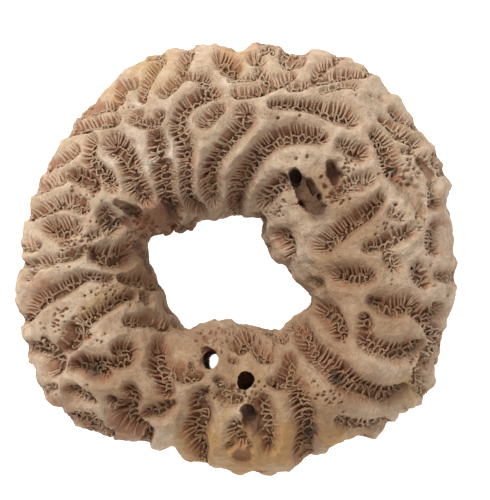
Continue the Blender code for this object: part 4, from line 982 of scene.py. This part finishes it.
class Ring:
    """The uncarved ring as a fine grid, with the depths of its valleys at each point of the grid."""

    def __init__(self):
        """Makes the grid, its normals and a tree to search it, and carves it."""
        even_around = np.arange(SEGMENTS_AROUND) * 2.0 * math.pi / SEGMENTS_AROUND
        even_across = np.arange(SEGMENTS_ACROSS) * 2.0 * math.pi / SEGMENTS_ACROSS
        closer_on_top = even_across + CROWN_DENSITY * np.cos(even_across)
        theta, phi = np.meshgrid(even_around, closer_on_top, indexing="ij")
        self.theta = theta.ravel()
        self.phi = phi.ravel()
        self.points, self.rim_height = ring_form(self.theta, self.phi)
        self.faces = grid_faces()
        self.seen = seen_from_above(self.points)
        smooth = new_piece("uncarved", self.points, self.faces)
        normals = np.empty(3 * len(self.points), dtype=np.float32)
        smooth.data.vertex_normals.foreach_get("vector", normals)
        self.normals = normals.reshape(-1, 3).astype(float)
        bpy.context.view_layer.update()
        self.tree = BVHTree.FromObject(smooth, bpy.context.evaluated_depsgraph_get())
        bpy.data.objects.remove(smooth)
        self.plan_valleys()
        self.carve()

    def plan_valleys(self):
        """Lines of all valleys: those seen from above, and those down the outer and inner walls."""
        rng = random.Random(SEED)
        carried, outer_crossings = over_rim(VALLEYS, OUTER_RIM)
        carried, inner_crossings = over_rim(carried, INNER_RIM)
        self.top_valleys = []
        for deepest, line in carried:
            line = leaning(smooth_line(line, LINE_STEP))
            deepest = deepest * (1.0 + (NEAR_DEPTH - 1.0) * near_side(line[:, 1].mean()))
            self.top_valleys.append((deepest, line))
        self.walls = []
        for outline, crossings in ((OUTER_RIM, outer_crossings), (INNER_RIM, inner_crossings)):
            valleys, length = wall_valleys(outline, crossings, rng)
            valleys = [(deepest, upright(smooth_line(line, LINE_STEP))) for deepest, line in valleys]
            self.walls.append((outline, valleys, length))

    def sink_valleys(self, top, bottom, wander):
        """Depths of the valleys' bed, of the septa's edges and of the colour over the whole grid."""
        fields, closest = valley_fields(self.seen, self.top_valleys, None, wander)
        fields *= top
        closest = np.where(top > LEAST_FADE, closest, FAR_OFF)
        outer = np.cos(self.phi) > 0.0
        for (outline, valleys, length), chosen in zip(self.walls, (outer, ~outer)):
            s = rim_distance(outline, self.theta[chosen])[0]
            t = (self.rim_height - self.points[:, 2])[chosen]
            below, near = valley_fields(np.column_stack((s, t)), valleys, length, wander[chosen])
            fields[:, chosen] = np.maximum(fields[:, chosen], bottom[chosen] * below)
            near = np.where(bottom[chosen] > LEAST_FADE, near, FAR_OFF)
            closest[chosen] = np.minimum(closest[chosen], near)
        self.closest = closest
        return fields

    def carve(self):
        """The carved points, the depths of the bed and the septa's edges, and how sunk each place looks."""
        up = np.sin(self.phi)
        height = self.points[:, 2]
        top = smoothstep(*CROWN_FADE, up)
        bottom = (1.0 - smoothstep(*WALL_FADE, up)) * smoothstep(*BASE_FADE, height)
        wander = swells(self.points, *WANDER_SWELLS)
        bed, edge, tint = self.sink_valleys(top, bottom, wander)
        keep = rim_keep(up)
        uneven_floor = 1.0 + FLOOR_UNEVENNESS * swells(self.points, *FLOOR_SWELLS)
        groove = (bed - edge) * (0.5 + 0.5 * keep) * uneven_floor
        edge = keep * edge
        hollow = hollow_field(self.seen, swells(self.points, *HOLLOW_SWELLS)) * top
        pore = pore_field(self.seen) * top * (1.0 - 0.7 * smoothstep(0.1, 0.6, groove))
        # How sunk each place looks, which browns and darkens its colour: the walls' own brown, then painted
        # shade in the valleys, hollows and pores
        self.sunk = keep * tint + HOLLOW_TINT * hollow + PORE_TINT * pore
        coarse, medium, fine = (rise * swells(self.points, size, seed) for rise, size, seed in SKIN_SWELLS)
        rough = coarse + medium
        rough += fine + HOLLOW_ROUGHNESS * smoothstep(0.3, 1.5, hollow) * wander
        rough *= smoothstep(0.0, 0.6, height)
        self.bed = np.maximum(edge + groove, hollow) + rough + pore
        self.edge = np.maximum(edge, hollow + 0.1 * (hollow > 0.05)) + rough
        down = smoothstep(0.0, 1.0, hollow - keep * bed)[:, None]
        out = (1.0 - down) * self.normals + down * np.array((0.0, 0.0, 1.0))
        self.carved = self.points - self.bed[:, None] * out
        self.carved[:, 2] = np.maximum(self.carved[:, 2], 0.0)

    def meet(self, starts, directions):
        """Grid cells and shares of a cell where rays meet the ring, and whether they do."""
        count = len(starts)
        places = np.zeros((count, 3))
        cells = np.zeros(count, dtype=int)
        met = np.zeros(count, dtype=bool)
        for k in range(count):
            place, _, cell, _ = self.tree.ray_cast(Vector(starts[k] * MM), Vector(directions[k]))
            if place is not None:
                places[k] = np.array(place) / MM
                cells[k] = cell
                met[k] = True
        i = cells // SEGMENTS_ACROSS
        j = cells % SEGMENTS_ACROSS
        grid = self.points.reshape(SEGMENTS_AROUND, SEGMENTS_ACROSS, 3)
        corner = grid[i, j]
        shares = []
        for neighbour in (grid[(i + 1) % SEGMENTS_AROUND, j], grid[i, (j + 1) % SEGMENTS_ACROSS]):
            side = neighbour - corner
            share = np.sum((places - corner) * side, axis=1) / np.sum(side ** 2, axis=1)
            shares.append(np.clip(share, 0.0, 1.0))
        return (i, j, *shares), met

    def read(self, field, where):
        """A field of the grid at given cells and shares."""
        i, j, share_i, share_j = where
        grid = field.reshape(SEGMENTS_AROUND, SEGMENTS_ACROSS, -1)
        after_i = (i + 1) % SEGMENTS_AROUND
        after_j = (j + 1) % SEGMENTS_ACROSS
        a = share_i[:, None]
        b = share_j[:, None]
        near = grid[i, j] * (1.0 - b) + grid[i, after_j] * b
        far = grid[after_i, j] * (1.0 - b) + grid[after_i, after_j] * b
        return (near * (1.0 - a) + far * a).squeeze()

    def around(self, where, shape):
        """Points and normals of the uncarved ring, and depths of the bed and of the septa's edges."""
        fields = (self.points, self.normals, self.bed, self.edge)
        return [self.read(field, where).reshape(*shape, *field.shape[1:]) for field in fields]

    def under_view(self, places):
        """Where the ring lies under places on the plane of the rim, seen from the view point."""
        eye = np.array((*VIEW_POINT, VIEW_HEIGHT))
        targets = np.column_stack((places, np.full(len(places), OUTER_RIM_HEIGHT)))
        directions = targets - eye
        directions /= np.linalg.norm(directions, axis=1)[:, None]
        return self.meet(np.tile(eye, (len(places), 1)), directions)

    def on_wall(self, places, outline, length, lowest):
        """Where places of a wall, s along its rim and t below it, lie on the ring, and whether they do."""
        even, travelled = rim_travel(outline)
        theta = np.interp(np.mod(places[:, 0], length), travelled, even)
        outer = outline is OUTER_RIM
        height = (OUTER_RIM_HEIGHT if outer else INNER_RIM_HEIGHT) - places[:, 1]
        middle = 0.5 * (
            outline_radius(OUTER_RIM, theta, RIM_SMOOTHING) + outline_radius(INNER_RIM, theta, RIM_SMOOTHING)
        )
        out = np.column_stack((np.cos(theta), np.sin(theta), np.zeros(len(theta))))
        starts = np.array((*RING_CENTRE, 0.0)) + middle[:, None] * out
        starts[:, 2] = height
        where, met = self.meet(starts, out if outer else -out)
        met &= np.sin(self.read(self.phi, where)) < WALL_TOP
        met &= self.read(self.points, where)[:, 2] > lowest
        return where, met


def bore_axes():
    """Starts, unit directions, lengths and radii at the start and the end of the bores."""
    for mouth, mouth_height, end, end_height, mouth_radius, end_radius in BORES:
        start = np.array((*mouth, mouth_height))
        axis = np.array((*end, end_height)) - start
        length = np.linalg.norm(axis)
        yield start, axis / length, length, mouth_radius, end_radius


def in_bore(points):
    """Whether each point lies in a bore, or almost."""
    inside = np.zeros(len(points), dtype=bool)
    for start, axis, length, mouth_radius, end_radius in bore_axes():
        along = (points - start) @ axis
        away = np.linalg.norm(points - start - along[:, None] * axis, axis=1)
        radius = mouth_radius + (end_radius - mouth_radius) * along / length
        inside |= (away < radius + BORE_MARGIN) & (along < length + BORE_MARGIN)
    return inside


def bar(start, end, radii, seed):
    """Points of a bar with a slightly uneven round section, round each of its stations in turn."""
    draw = np.random.default_rng(seed)
    axis = (end - start) / np.linalg.norm(end - start)
    first = np.cross(axis, (0.0, 1.0, 0.2))
    first /= np.linalg.norm(first)
    second = np.cross(axis, first)
    turn = np.arange(BORE_SIDES) * 2.0 * math.pi / BORE_SIDES
    uneven = 1.0 + 0.07 * np.sin(2.0 * turn + draw.uniform(0, 6))
    uneven += 0.04 * np.sin(3.0 * turn + draw.uniform(0, 6))
    outward = np.cos(turn)[:, None] * first + np.sin(turn)[:, None] * second
    stations = []
    for k, radius in enumerate(radii):
        centre = start + (end - start) * k / (len(radii) - 1)
        wobble = 1.0 + 0.03 * draw.normal(size=BORE_SIDES)
        stations.append(centre + (radius * uneven * wobble)[:, None] * outward)
    return stations


def new_tubes(name, points):
    """One mesh of closed tubes: points has the corners round each station of each tube."""
    count, stations, sides, _ = points.shape
    triangles = []
    for k, m in itertools.product(range(stations - 1), range(sides)):
        a = k * sides + m
        b = k * sides + (m + 1) % sides
        triangles += [(a, b, b + sides), (a, b + sides, a + sides)]
    last = (stations - 1) * sides
    for m in range(1, sides - 1):
        triangles += [(0, m + 1, m), (last, last + m, last + m + 1)]
    each = stations * sides * np.arange(count)[:, None, None]
    return new_piece(name, points.reshape(-1, 3), (np.array(triangles) + each).reshape(-1, 3))


def bore_cutter():
    """An uneven round bar in each bore."""
    bars = []
    for k, (start, axis, length, mouth_radius, end_radius) in enumerate(bore_axes()):
        radii = np.linspace(end_radius, mouth_radius, BORE_STATIONS)
        bars.append(bar(start + length * axis, start, radii, BORE_SEED + k))
    return new_tubes("bore_cutter", np.array(bars))


def make_body(ring):
    """The skeleton itself: the carved ring, thinned to what its detail needs, with its bores."""
    body = new_piece("coral_skeleton", ring.carved, ring.faces)
    thin = body.modifiers.new("fewer_faces", "DECIMATE")
    thin.ratio = BODY_TRIANGLES / (2.0 * SEGMENTS_AROUND * SEGMENTS_ACROSS)
    thin.use_collapse_triangulate = True
    cutter = bore_cutter()
    drill = body.modifiers.new("bores", "BOOLEAN")
    drill.operation = "DIFFERENCE"
    drill.solver = "MANIFOLD"
    drill.object = cutter
    bpy.context.view_layer.update()
    evaluated = body.evaluated_get(bpy.context.evaluated_depsgraph_get())
    finished = bpy.data.meshes.new_from_object(evaluated)
    body.modifiers.clear()
    body.data = finished
    bpy.data.objects.remove(cutter)
    finished.shade_smooth()
    finished.set_sharp_from_angle(angle=math.radians(SHARP_ANGLE))
    return body


def stain_and_shade_values(seen):
    """How strongly each kind of stain and painted shade shows at places seen from above."""
    values = {}
    for kind, patches in STAIN_AND_SHADE_PATCHES.items():
        strength = np.zeros(len(seen))
        for x, y, radius in patches:
            away = np.hypot(seen[:, 0] - x, seen[:, 1] - y)
            faded = smoothstep(STAIN_AND_SHADE_CORE * radius, STAIN_AND_SHADE_REACH * radius, away)
            strength = np.maximum(strength, 1.0 - faded)
        values[kind] = strength
    return values


def body_values(body, ring):
    """What the body's material needs at each of its points, read from the nearest point of the grid."""
    tree = KDTree(len(ring.carved))
    for k, place in enumerate(ring.carved):
        tree.insert(place, k)
    tree.balance()
    places = np.empty(3 * len(body.data.vertices), dtype=np.float32)
    body.data.vertices.foreach_get("co", places)
    places = places.reshape(-1, 3) / MM
    nearest = np.array([tree.find(place)[1] for place in places])
    away = np.linalg.norm(places - ring.carved[nearest], axis=1)
    # Painted shade: bore walls darken the further they lie from the carved surface
    sunk = ring.sunk[nearest] + np.minimum(away, BORE_SHADE_DEPTH)
    values = {
        "sunk": np.clip(sunk / DEEPEST, 0.0, 1.0),
        "middle": 1.0 - smoothstep(*MIDDLE_FADE, ring.closest[nearest]),
    }
    values.update(stain_and_shade_values(ring.seen[nearest]))
    return values


def is_worn(places):
    """Whether each place lies in one of the pitted patches."""
    worn = np.zeros(len(places), dtype=bool)
    for x, y, radius in PITTED:
        worn |= np.hypot(places[:, 0] - x, places[:, 1] - y) < radius
    return worn


def valley_rim(line, length, rng):
    """Feet of the septa round a valley, the place in its middle that each points to, and how wide the wall
    between them is, in half-widths."""
    fine = smooth_line(line, RIM_STEP)
    centre = fine[:, :2]
    width = fine[:, 2:3]
    tangent, normal = headings(centre)
    turn = np.linspace(0.0, math.pi, 15)[1:-1, None]
    end_cap = centre[-1] + width[-1] * (np.cos(turn) * normal[-1] + np.sin(turn) * tangent[-1])
    start_cap = centre[0] - width[0] * (np.cos(turn) * normal[0] + np.sin(turn) * tangent[0])
    rim = np.vstack((centre + width * normal, end_cap, (centre - width * normal)[::-1], start_cap))
    deepest = centre + width * np.sum(fine[:, 3:] * normal, axis=1)[:, None] * normal
    core = np.column_stack((deepest, width))
    cap = np.ones((len(turn), 1))
    closed = np.column_stack((rim, np.vstack((core, cap * core[-1], core[::-1], cap * core[0]))))
    closed = np.vstack((closed, closed[:1]))
    travelled = travel(closed[:, :2])
    near = near_side(centre[:, 1].mean()) if length is None else 0.0
    count = max(6, round(travelled[-1] / (SEPTUM_PITCH + (NEAR_PITCH - SEPTUM_PITCH) * near)))
    at = (np.arange(count) + rng.normal(size=count) * SEPTUM_JITTER) / count * travelled[-1]
    at = np.mod(at, travelled[-1])
    found = np.column_stack([np.interp(at, travelled, column) for column in closed.T])
    feet = found[:, :2]
    inner = found[:, 2:4]
    return feet, inner, np.linalg.norm(feet - inner, axis=1) / found[:, 4]


def septa_plan(valleys, length, rng):
    """Stations of each septum across its valley, as places on the chart, thicknesses and nearness."""
    rims = [valley_rim(line, length, rng) for _, line in valleys]
    feet, inner, wall = (np.concatenate(parts) for parts in zip(*rims))
    worn = is_worn(feet) if length is None else False
    broken = np.where(worn, WORN_BROKEN_SHARE, BROKEN_SHARE)
    broken = np.maximum(broken, np.where(wall < SHORT_WALL[0], SHORT_BROKEN_SHARE, 0.0))
    kept = (closest_valley(feet, valleys, length) > OWN_RIM) & (rng.random(len(feet)) > broken)
    feet = feet[kept]
    inner = inner[kept]
    count = len(feet)
    inner_end = rng.uniform(*SEPTUM_INNER, count)
    inner_end = np.where(rng.random(count) < CROSSING_SHARE, 0.0, inner_end)
    outer_end = np.full(count, SEPTUM_REACHES[-1])
    for reach in reversed(SEPTUM_REACHES):
        free = closest_valley(inner + reach * (feet - inner), valleys, length) > reach - 0.06
        outer_end = np.where(free & (outer_end > reach - 0.1), reach, outer_end)
    steps = np.linspace(0.0, 1.0, SEPTUM_STATIONS)
    shares = outer_end[:, None] + (inner_end - outer_end)[:, None] * steps
    skew = rng.normal(size=(count, 1)) * SEPTUM_SKEW
    bend = rng.normal(size=(count, 1)) * SEPTUM_BEND
    out = feet - inner
    sideways = np.column_stack((-out[:, 1], out[:, 0])) / np.linalg.norm(out, axis=1)[:, None]
    lean = skew * (1.0 - shares) + bend * np.sin(3.0 * shares)
    places = inner[:, None] + shares[..., None] * out[:, None] + lean[..., None] * sideways[:, None]
    thickness = SEPTUM_THICKNESS * rng.uniform(*SEPTUM_VARIETY, (count, 1))
    return places, thickness + SEPTUM_FLARE * smoothstep(0.8, 1.25, shares), shares


def raise_septa(ring, where, met, plan, rng):
    """Points of the septa: five round each station, the first two on the foot and the third on the edge."""
    _, thickness, shares = plan
    count, stations = shares.shape
    surface, normals, bed, edge = ring.around(where, shares.shape)
    side = np.cross(normals, np.gradient(surface, axis=1))
    side /= np.maximum(np.linalg.norm(side, axis=2), 1e-6)[..., None]
    tucked = (0.1 + COSTA_HEIGHT) * smoothstep(0.15, 0.0, shares[:, :1] - shares)
    uneven = SEPTUM_UNEVENNESS * rng.normal(size=(count, 1)) * smoothstep(1.0, 0.7, shares)
    high = edge - COSTA_HEIGHT * smoothstep(0.9, 1.2, shares) + tucked + uneven
    low = np.maximum(bed, edge) + SEPTUM_ROOT
    half = 0.5 * thickness
    corners = (
        (low, -SEPTUM_FOOT * half),
        (high + SEPTUM_BEVEL, -half),
        (high, 0.0 * half),
        (high + SEPTUM_BEVEL, half),
        (low, SEPTUM_FOOT * half),
    )
    solid = np.stack(
        [surface - depth[..., None] * normals + shift[..., None] * side for depth, shift in corners], axis=2
    )
    solid[..., 2] = np.maximum(solid[..., 2], 0.0)
    depths = np.stack([depth for depth, _ in corners], axis=2)
    good = met.reshape(count, stations).all(axis=1)
    good &= ~in_bore(solid.reshape(-1, 3)).reshape(count, -1).any(axis=1)
    good &= (bed - edge).max(axis=1) > LEAST_GROOVE
    return solid[good], (depths - high[..., None])[good], depths[good]


def plates(name, parts, tint, middle=0.0):
    """One mesh of septa or rods, with what its material needs."""
    solid, below, depths = parts
    piece = new_tubes(name, solid)
    points = solid.reshape(-1, 3)
    values = {
        # How sunk the septa and rods look: painted shade down their sides and in the deepest valleys
        "sunk": np.clip((BELOW_TINT * below + tint * depths).ravel() / DEEPEST, 0.0, 1.0),
        "middle": np.full(len(points), middle),
    }
    values.update(stain_and_shade_values(seen_from_above(points)))
    give_values(piece, values)
    return piece


def net_plan(valleys, cell, rng):
    """Rods of the net along each valley: the places of their stations on the chart, and their drops."""
    places = []
    drops = []
    for _, line in valleys:
        fine = smooth_line(line, NET_STEP)
        centre = fine[:, :2]
        width = fine[:, 2]
        normal = headings(centre)[1]
        aside = np.sum(fine[:, 3:] * normal, axis=1)
        short = NET_SHARES[1] * (1.0 - np.abs(aside))
        long = NET_SHARES[0] * (1.0 + np.abs(aside))
        right, left = (width * np.where(side * aside > 0.0, short, long) for side in (-1.0, 1.0))
        band = 0.5 * (right + left)
        middles = centre + (width * aside + 0.5 * (left - right))[:, None] * normal
        travelled = travel(centre)
        columns = max(2, round(2.0 * travelled[-1] / cell))
        rows = max(1, round(2.0 * band.mean() / (HEXAGON * cell)))
        column, row = np.meshgrid(np.arange(columns + 1), np.arange(rows + 1), indexing="ij")
        zigzag = np.where((column + row) % 2 == 0, NET_ZIGZAG, -NET_ZIGZAG)
        along = travelled[-1] * column / columns + rng.normal(size=column.shape) * NET_SCATTER[0] * cell
        across = 2.0 * (row + zigzag + rng.normal(size=row.shape) * NET_SCATTER[1]) / rows - 1.0
        knots = np.stack([
            np.interp(along, travelled, middle) + across * np.interp(along, travelled, sideways)
            for middle, sideways in zip(middles.T, (band[:, None] * normal).T)
        ], axis=-1)
        drop = rng.normal(size=column.shape) * NET_DROP
        for i, j in itertools.product(range(columns + 1), range(rows + 1)):
            neighbours = [(i + 1, j)] if i < columns else []
            if j < rows and (i + j) % 2 == 0:
                neighbours.append((i, j + 1))
            for other in neighbours:
                if rng.random() < NET_GAP_SHARE:
                    continue
                middle = 0.5 * (knots[i, j] + knots[other]) + rng.normal(size=2) * 0.05
                places.append((knots[i, j], middle, knots[other]))
                drops.append((drop[i, j], 0.5 * (drop[i, j] + drop[other]) + ROD_SAG, drop[other]))
    return np.array(places), np.array(drops)


def raise_rods(ring, where, met, drops, rng):
    """Points of the rods: five round each station."""
    count = len(drops)
    surface, normals, bed, edge = ring.around(where, drops.shape)
    radius = ROD_RADIUS * rng.uniform(*ROD_VARIETY, (count, 1)) * np.array(ROD_WAIST)
    depth = edge + radius + drops
    centre = surface - depth[..., None] * normals
    along = np.gradient(centre, axis=1)
    along /= np.maximum(np.linalg.norm(along, axis=2), 1e-6)[..., None]
    side = np.cross(normals, along)
    side /= np.maximum(np.linalg.norm(side, axis=2), 1e-6)[..., None]
    rise = np.cross(along, side)
    solid = []
    for m in range(SECTION_SIDES):
        turn = 2.0 * math.pi * m / SECTION_SIDES
        spread = math.cos(turn) * side + math.sin(turn) * rise
        solid.append(centre + radius[..., None] * spread)
    solid = np.stack(solid, axis=2)[:, :, ::-1]
    solid[..., 2] = np.maximum(solid[..., 2], 0.0)
    good = met.reshape(drops.shape).all(axis=1)
    good &= ~in_bore(solid.reshape(-1, 3)).reshape(count, -1).any(axis=1)
    good &= (bed - edge).min(axis=1) > LEAST_NET_GROOVE
    good &= np.linalg.norm(np.diff(centre, axis=1), axis=2).min(axis=1) > SHORTEST_ROD
    below = np.zeros(solid.shape[:3])
    depths = np.repeat(depth[..., None], SECTION_SIDES, axis=2)
    return solid[good], below[good], depths[good]


def make_fine_pieces(ring):
    """All the septa and rods, in a few pieces."""
    rng = np.random.default_rng(SEED)
    plan = septa_plan(ring.top_valleys, None, rng)
    where, met = ring.under_view(plan[0].reshape(-1, 2))
    met &= np.sin(ring.read(ring.phi, where)) > LOWEST_ON_TOP
    septa = raise_septa(ring, where, met, plan, rng)
    far = septa[0][:, 0, 0, 1] > 0.0
    groups = [
        plates("septa_far", [part[far] for part in septa], SEPTUM_TINT),
        plates("septa_near", [part[~far] for part in septa], SEPTUM_TINT),
    ]
    places, drops = net_plan(ring.top_valleys, NET_CELL, rng)
    where, met = ring.under_view(places.reshape(-1, 2))
    groups.append(plates("columella", raise_rods(ring, where, met, drops, rng), NET_TINT, 1.0))
    wall_rods = []
    for name, (outline, valleys, length) in zip(("outer", "inner"), ring.walls):
        plan = septa_plan(valleys, length, rng)
        where, met = ring.on_wall(plan[0].reshape(-1, 2), outline, length, 0.0)
        septa = raise_septa(ring, where, met, plan, rng)
        groups.append(plates("septa_" + name + "_wall", septa, SEPTUM_TINT))
        places, drops = net_plan(valleys, WALL_NET_CELL, rng)
        where, met = ring.on_wall(places.reshape(-1, 2), outline, length, LOWEST_NET)
        wall_rods.append(raise_rods(ring, where, met, drops, rng))
    rods = [np.concatenate(parts) for parts in zip(*wall_rods)]
    groups.append(plates("columella_walls", rods, NET_TINT, 1.0))
    return groups


def linear(colour):
    """A colour given as sRGB bytes, as the linear values that shaders take."""
    values = [channel / 255.0 for channel in colour]
    return (*[v / 12.92 if v <= 0.04045 else ((v + 0.055) / 1.055) ** 2.4 for v in values], 1.0)


class Nodes:
    """Short ways to add nodes to a material."""

    def __init__(self, name):
        """Starts a material with the usual shader."""
        self.material = bpy.data.materials.new(name)
        self.material.use_nodes = True
        self.tree = self.material.node_tree
        self.shader = self.tree.nodes["Principled BSDF"]
        self.place = self.add("ShaderNodeTexCoord").outputs["Object"]

    def add(self, kind, **settings):
        """A new node of a kind, with its settings."""
        node = self.tree.nodes.new(kind)
        for name, value in settings.items():
            setattr(node, name, value)
        return node

    def connect(self, source, target):
        """Feeds another node's output, or a fixed value, into an input."""
        if isinstance(source, bpy.types.NodeSocket):
            self.tree.links.new(source, target)
        else:
            target.default_value = source

    def value(self, name):
        """One of the values that the piece's points carry."""
        return self.add("ShaderNodeAttribute", attribute_name=name).outputs["Fac"]

    def noise(self, size, detail, roughness):
        """Noise with swells of about the given size in millimetres."""
        node = self.add("ShaderNodeTexNoise")
        self.connect(self.place, node.inputs["Vector"])
        node.inputs["Scale"].default_value = 1.0 / (size * MM)
        node.inputs["Detail"].default_value = detail
        node.inputs["Roughness"].default_value = roughness
        return node.outputs["Fac"]

    def math(self, operation, *values):
        """A sum, product or other operation on some values."""
        node = self.add("ShaderNodeMath", operation=operation)
        for socket, value in zip(node.inputs, values):
            self.connect(value, socket)
        return node.outputs[0]

    def between(self, low, high, value):
        """Rises smoothly from 0 to 1 as the value goes from low to high."""
        node = self.add("ShaderNodeMapRange", interpolation_type="SMOOTHSTEP")
        self.connect(value, node.inputs["Value"])
        node.inputs["From Min"].default_value = low
        node.inputs["From Max"].default_value = high
        return node.outputs["Result"]

    def mix(self, share, first, second, blend="MIX"):
        """The first colour with a share of the second."""
        node = self.add("ShaderNodeMix", data_type="RGBA", blend_type=blend)
        self.connect(share, node.inputs["Factor"])
        self.connect(first, node.inputs[6])
        self.connect(second, node.inputs[7])
        return node.outputs[2]


def stained_and_shaded(n, colour, patchy, kinds):
    """The colour with some kinds of stain and painted shade over it, broken up by patchy noise."""
    for kind in kinds:
        start, full = STAIN_AND_SHADE_BREAKS[kind]
        share = n.math("MULTIPLY", n.value(kind), n.between(start, full, patchy))
        colour = n.mix(n.math("MULTIPLY", STAIN_AND_SHADE_STRENGTH, share), colour, linear(STAIN_AND_SHADE_COLOURS[kind]))
    return colour


def coral_material():
    """Dry coral limestone: cream crests with a painted highlight, brown walls that darken with depth as
    painted shade, olive porous middles, stains, painted shade in hollows and bores and round the hole, pores
    and grain.
    """
    n = Nodes("coral_limestone_worn")
    sunk = n.value("sunk")
    middle = n.value("middle")
    broad = n.noise(*BROAD_NOISE)
    patchy = n.noise(*PATCHY_NOISE)
    fine = n.noise(*FINE_NOISE)
    grain = n.noise(*GRAIN_NOISE)

    uneven = n.math("ADD", sunk, n.math("MULTIPLY", UNEVEN_DEPTH, n.math("SUBTRACT", patchy, 0.5)))
    colour = n.mix(n.between(0.35, 0.75, broad), linear(CREAM), linear(PINK))
    # The crests' own paler cream, with a painted highlight along them
    colour = n.mix(n.between(*CREST_DEPTHS, uneven), colour, linear(CREST_HIGHLIGHT_CREAM))
    colour = n.mix(n.math("MULTIPLY", TAN_STRENGTH, n.between(0.42, 0.68, patchy)), colour, linear(TAN))
    # Stains, and the painted shade round the hole
    colour = stained_and_shaded(n, colour, patchy, [kind for kind in STAIN_AND_SHADE_COLOURS if kind not in OVER_THE_WALLS])
    wall = n.between(*WALL_DEPTHS, uneven)
    colour = n.mix(n.math("MULTIPLY", WALL_STRENGTH, wall), colour, linear(WALL_BROWN))
    olive = n.math("MULTIPLY", OLIVE_STRENGTH, n.math("MULTIPLY", middle, wall))
    colour = n.mix(olive, colour, linear(OLIVE))
    # Painted shade: the deepest places darken towards a deep brown
    deep = n.math("MULTIPLY", DEEP_STRENGTH, n.between(*DEEP_DEPTHS, uneven))
    colour = n.mix(deep, colour, linear(DEEP_SHADE_BROWN))
    # Painted shade of the hollows, bores and deepest valleys, over the walls' brown
    colour = stained_and_shaded(n, colour, patchy, OVER_THE_WALLS)
    mottled = n.mix(n.between(0.35, 0.70, grain), GRAIN_SHADE, WHITE)
    colour = n.mix(GRAIN_STRENGTH, colour, mottled, "MULTIPLY")
    speckled = n.mix(n.between(0.30, 0.75, fine), SPECKLE_SHADE, WHITE)
    colour = n.mix(SPECKLE_STRENGTH, colour, speckled, "MULTIPLY")
    n.connect(colour, n.shader.inputs["Base Color"])

    n.shader.inputs["Roughness"].default_value = CORAL_ROUGHNESS
    n.shader.inputs["Specular IOR Level"].default_value = CORAL_SPECULAR
    pits = n.add("ShaderNodeTexVoronoi")
    n.connect(n.place, pits.inputs["Vector"])
    pits.inputs["Scale"].default_value = 1.0 / (PIT_SIZE * MM)
    pit = n.between(0.10, 0.32, pits.outputs["Distance"])
    fine_part, pit_part, grain_part = (
        n.math("MULTIPLY", share, part) for share, part in zip(BUMP_SHARES, (fine, pit, grain))
    )
    bump = n.add("ShaderNodeBump")
    bump.inputs["Strength"].default_value = BUMP_STRENGTH
    bump.inputs["Distance"].default_value = BUMP_HEIGHT * MM
    n.connect(n.math("ADD", n.math("ADD", fine_part, pit_part), grain_part), bump.inputs["Height"])
    n.connect(bump.outputs["Normal"], n.shader.inputs["Normal"])
    return n.material


def floor_material():
    """Matt pale floor, with a little light of its own so that it stays pale inside the ring."""
    material = bpy.data.materials.new("pale_floor")
    material.use_nodes = True
    shader = material.node_tree.nodes["Principled BSDF"]
    shader.inputs["Base Color"].default_value = linear(FLOOR_COLOUR)
    shader.inputs["Roughness"].default_value = FLOOR_ROUGHNESS
    shader.inputs["Emission Color"].default_value = WHITE
    shader.inputs["Emission Strength"].default_value = FLOOR_GLOW
    return material


def make_floor():
    """The floor that the coral rests on."""
    bpy.ops.mesh.primitive_plane_add(size=FLOOR_SIZE * MM, location=(0.0, 0.0, -FLOOR_DROP * MM))
    floor = bpy.context.object
    floor.name = "floor"
    floor.data.materials.append(floor_material())


def make_camera():
    """Straight above the ring, framed on a 490 x 500 image with 0.25 mm a pixel at the rim's height."""
    data = bpy.data.cameras.new("camera")
    data.sensor_width = SENSOR_WIDTH
    data.lens = SENSOR_WIDTH * (VIEW_HEIGHT - OUTER_RIM_HEIGHT) / FRAME_WIDTH
    data.clip_start = 0.01
    data.clip_end = 10.0
    camera = bpy.data.objects.new("camera", data)
    camera.location = (FRAME_CENTRE[0] * MM, FRAME_CENTRE[1] * MM, VIEW_HEIGHT * MM)
    bpy.context.scene.collection.objects.link(camera)
    bpy.context.scene.camera = camera


def area_light(name, size, power, location, colour):
    """A square soft light that faces the coral: size and place in metres, and power in watts."""
    data = bpy.data.lights.new(name, "AREA")
    data.size = size
    data.energy = power
    data.color = colour
    light = bpy.data.objects.new(name, data)
    light.location = location
    aim = Vector(LIGHT_TARGET) - Vector(location)
    light.rotation_euler = aim.to_track_quat("-Z", "Y").to_euler()
    bpy.context.scene.collection.objects.link(light)


def make_lights():
    """A large soft light from above and beyond, a fill light, and a dim pale surround."""
    for light in LIGHTS:
        area_light(*light)
    world = bpy.data.worlds.new("surround")
    world.use_nodes = True
    background = world.node_tree.nodes["Background"]
    background.inputs["Color"].default_value = WHITE
    background.inputs["Strength"].default_value = SURROUND_LIGHT
    bpy.context.scene.world = world


def main():
    """The dressed coral, its floor, lights and camera."""
    bpy.context.scene.view_settings.view_transform = "Standard"
    ring = Ring()
    body = make_body(ring)
    give_values(body, body_values(body, ring))
    pieces = [body] + make_fine_pieces(ring)
    coral = coral_material()
    for piece in pieces:
        piece.data.materials.clear()
        piece.data.materials.append(coral)
        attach(piece, "root")
    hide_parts("brain_coral")
    make_floor()
    make_lights()
    make_camera()


main()
